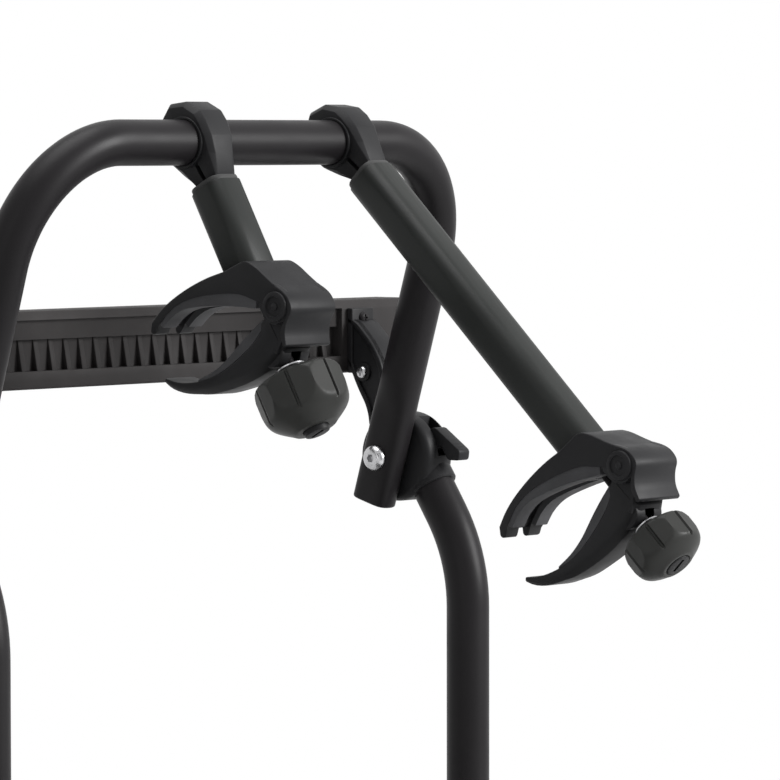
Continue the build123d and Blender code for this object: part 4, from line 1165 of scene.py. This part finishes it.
class CARRIER_OT_studio(CarrierStep, bpy.types.Operator):
    """Camera, lamps, pale floor and white surroundings"""
    bl_idname = "carrier.studio"
    bl_label = "Studio"

    def camera(self, scene):
        """The photograph's viewing angle, from behind the vehicle on its left."""
        data = bpy.data.cameras.new("photo_camera")
        data.sensor_width, data.lens = 36, 236.82
        data.clip_start, data.clip_end = 0.1, 60
        camera = bpy.data.objects.new("photo_camera", data)
        scene.collection.objects.link(camera)
        stand = (-2.553465, -2.312578, 0.220573)
        turn, dip, roll = 0.87569, 0.047984, -0.0011912
        view = Vector((sin(turn) * cos(dip), cos(turn) * cos(dip), -sin(dip)))
        right = Vector((cos(turn), -sin(turn), 0))
        up = right.cross(view)
        right, up = right * cos(roll) + up * sin(roll), up * cos(roll) - right * sin(roll)
        pose = Matrix((right, up, -view)).transposed().to_4x4()
        pose.translation = hub + Vector(stand)
        camera.matrix_world = pose
        scene.camera = camera

    def lamp(self, scene, name, place, aim, size, power):
        data = bpy.data.lights.new(name, "AREA")
        data.shape, data.energy = "RECTANGLE", power
        data.size, data.size_y = size
        lamp = bpy.data.objects.new(name, data)
        scene.collection.objects.link(lamp)
        lamp.location = place
        lamp.rotation_euler = (Vector(aim) - Vector(place)).to_track_quat("-Z", "Y").to_euler()

    def floor(self, scene):
        """Pale floor that keeps the shadow and fades to white at its rim."""
        bm = bmesh.new()
        bmesh.ops.create_circle(bm, cap_ends=True, segments=96, radius=1.55)
        mesh = bpy.data.meshes.new("floor")
        bm.to_mesh(mesh)
        bm.free()
        floor = bpy.data.objects.new("floor", mesh)
        scene.collection.objects.link(floor)
        finish = bpy.data.materials.new("pale_floor")
        finish.use_nodes = True
        tree = finish.node_tree
        shader = set_inputs(tree.nodes["Principled BSDF"], Base_Color=(0.9, 0.9, 0.9, 1), Roughness=0.9,
                            Specular_IOR_Level=0.0)
        measure = add_node(tree, "VectorMath")
        measure.operation = "LENGTH"
        fade = add_node(tree, "MapRange", From_Min=0.8, From_Max=1.5)
        fade.interpolation_type = "SMOOTHSTEP"
        mix = add_node(tree, "MixShader")
        join(tree, (object_space(tree), measure.inputs[0]),
             (measure.outputs["Value"], fade.inputs["Value"]), (fade.outputs["Result"], mix.inputs["Fac"]),
             (shader.outputs["BSDF"], mix.inputs[1]),
             (add_node(tree, "Emission").outputs["Emission"], mix.inputs[2]),
             (mix.outputs["Shader"], tree.nodes["Material Output"].inputs["Surface"]))
        mesh.materials.append(finish)

    def surroundings(self, scene):
        """White to the camera and in reflections, a plain level of light elsewhere."""
        world = bpy.data.worlds.new("studio")
        scene.world = world
        world.use_nodes = True
        tree = world.node_tree
        path = add_node(tree, "LightPath")
        background = set_inputs(tree.nodes["Background"], Color=(1, 1, 1, 1))
        seen, bright = add_node(tree, "Math"), add_node(tree, "Math")
        seen.operation = bright.operation = "MAXIMUM"
        level = add_node(tree, "MapRange", To_Min=0.22, To_Max=1.0)
        join(tree, (path.outputs["Is Camera Ray"], seen.inputs[0]),
             (path.outputs["Is Transmission Ray"], seen.inputs[1]),
             (seen.outputs["Value"], bright.inputs[0]), (path.outputs["Is Glossy Ray"], bright.inputs[1]),
             (bright.outputs["Value"], level.inputs["Value"]),
             (level.outputs["Result"], background.inputs["Strength"]))

    def execute(self, context):
        scene = context.scene
        scene.view_settings.view_transform = "Standard"
        self.camera(scene)
        self.lamp(scene, "key", (1.5, -2.3, 1.6), (0, 0.1, 0.55), (1.3, 1.3), 125)
        self.lamp(scene, "overhead", (-0.2, 0.2, 2.9), (0, 0.1, 0.5), (1.8, 1.8), 50)
        self.lamp(scene, "left_fill", (-2.6, -0.4, 1.1), (0, 0.1, 0.5), (1.2, 1.8), 5)
        self.floor(scene)
        self.surroundings(scene)
        return {"FINISHED"}


STEPS = (CARRIER_OT_bow, CARRIER_OT_lower_tube, CARRIER_OT_hubs, CARRIER_OT_levers,
         CARRIER_OT_support_bar, CARRIER_OT_brackets, CARRIER_OT_arms, CARRIER_OT_clamps,
         CARRIER_OT_claws, CARRIER_OT_knobs, CARRIER_OT_platform, CARRIER_OT_trays,
         CARRIER_OT_fittings, CARRIER_OT_kept_nodes, CARRIER_OT_studio)


class CARRIER_PT_pieces(bpy.types.Panel):
    """Sizes, colours and the steps that build the carrier"""
    bl_idname = "CARRIER_PT_pieces"
    bl_label = "Bike carrier"
    bl_space_type = "VIEW_3D"
    bl_region_type = "UI"
    bl_category = "Carrier"

    def draw(self, context):
        layout = self.layout
        for group in (context.scene.carrier_sizes, context.scene.carrier_colours):
            rows = layout.box()
            for name in group.__annotations__:
                rows.prop(group, name)
        for step in STEPS:
            layout.operator(step.bl_idname)


CLASSES = (CarrierSizes, CarrierColours, *STEPS, CARRIER_PT_pieces)


def register():
    for made in CLASSES:
        bpy.utils.register_class(made)
    bpy.types.Scene.carrier_sizes = PointerProperty(type=CarrierSizes)
    bpy.types.Scene.carrier_colours = PointerProperty(type=CarrierColours)


def unregister():
    del bpy.types.Scene.carrier_colours
    del bpy.types.Scene.carrier_sizes
    for made in reversed(CLASSES):
        bpy.utils.unregister_class(made)


def main():
    """Builds every piece in order."""
    for name in ("Cube", "Light", "Camera"):
        spare = bpy.data.objects.get(name)
        if spare is not None:
            bpy.data.objects.remove(spare)
    register()
    for step in STEPS:
        group, name = step.bl_idname.split(".")
        getattr(getattr(bpy.ops, group), name)()
    bpy.context.view_layer.update()


if __name__ == "__main__":
    main()
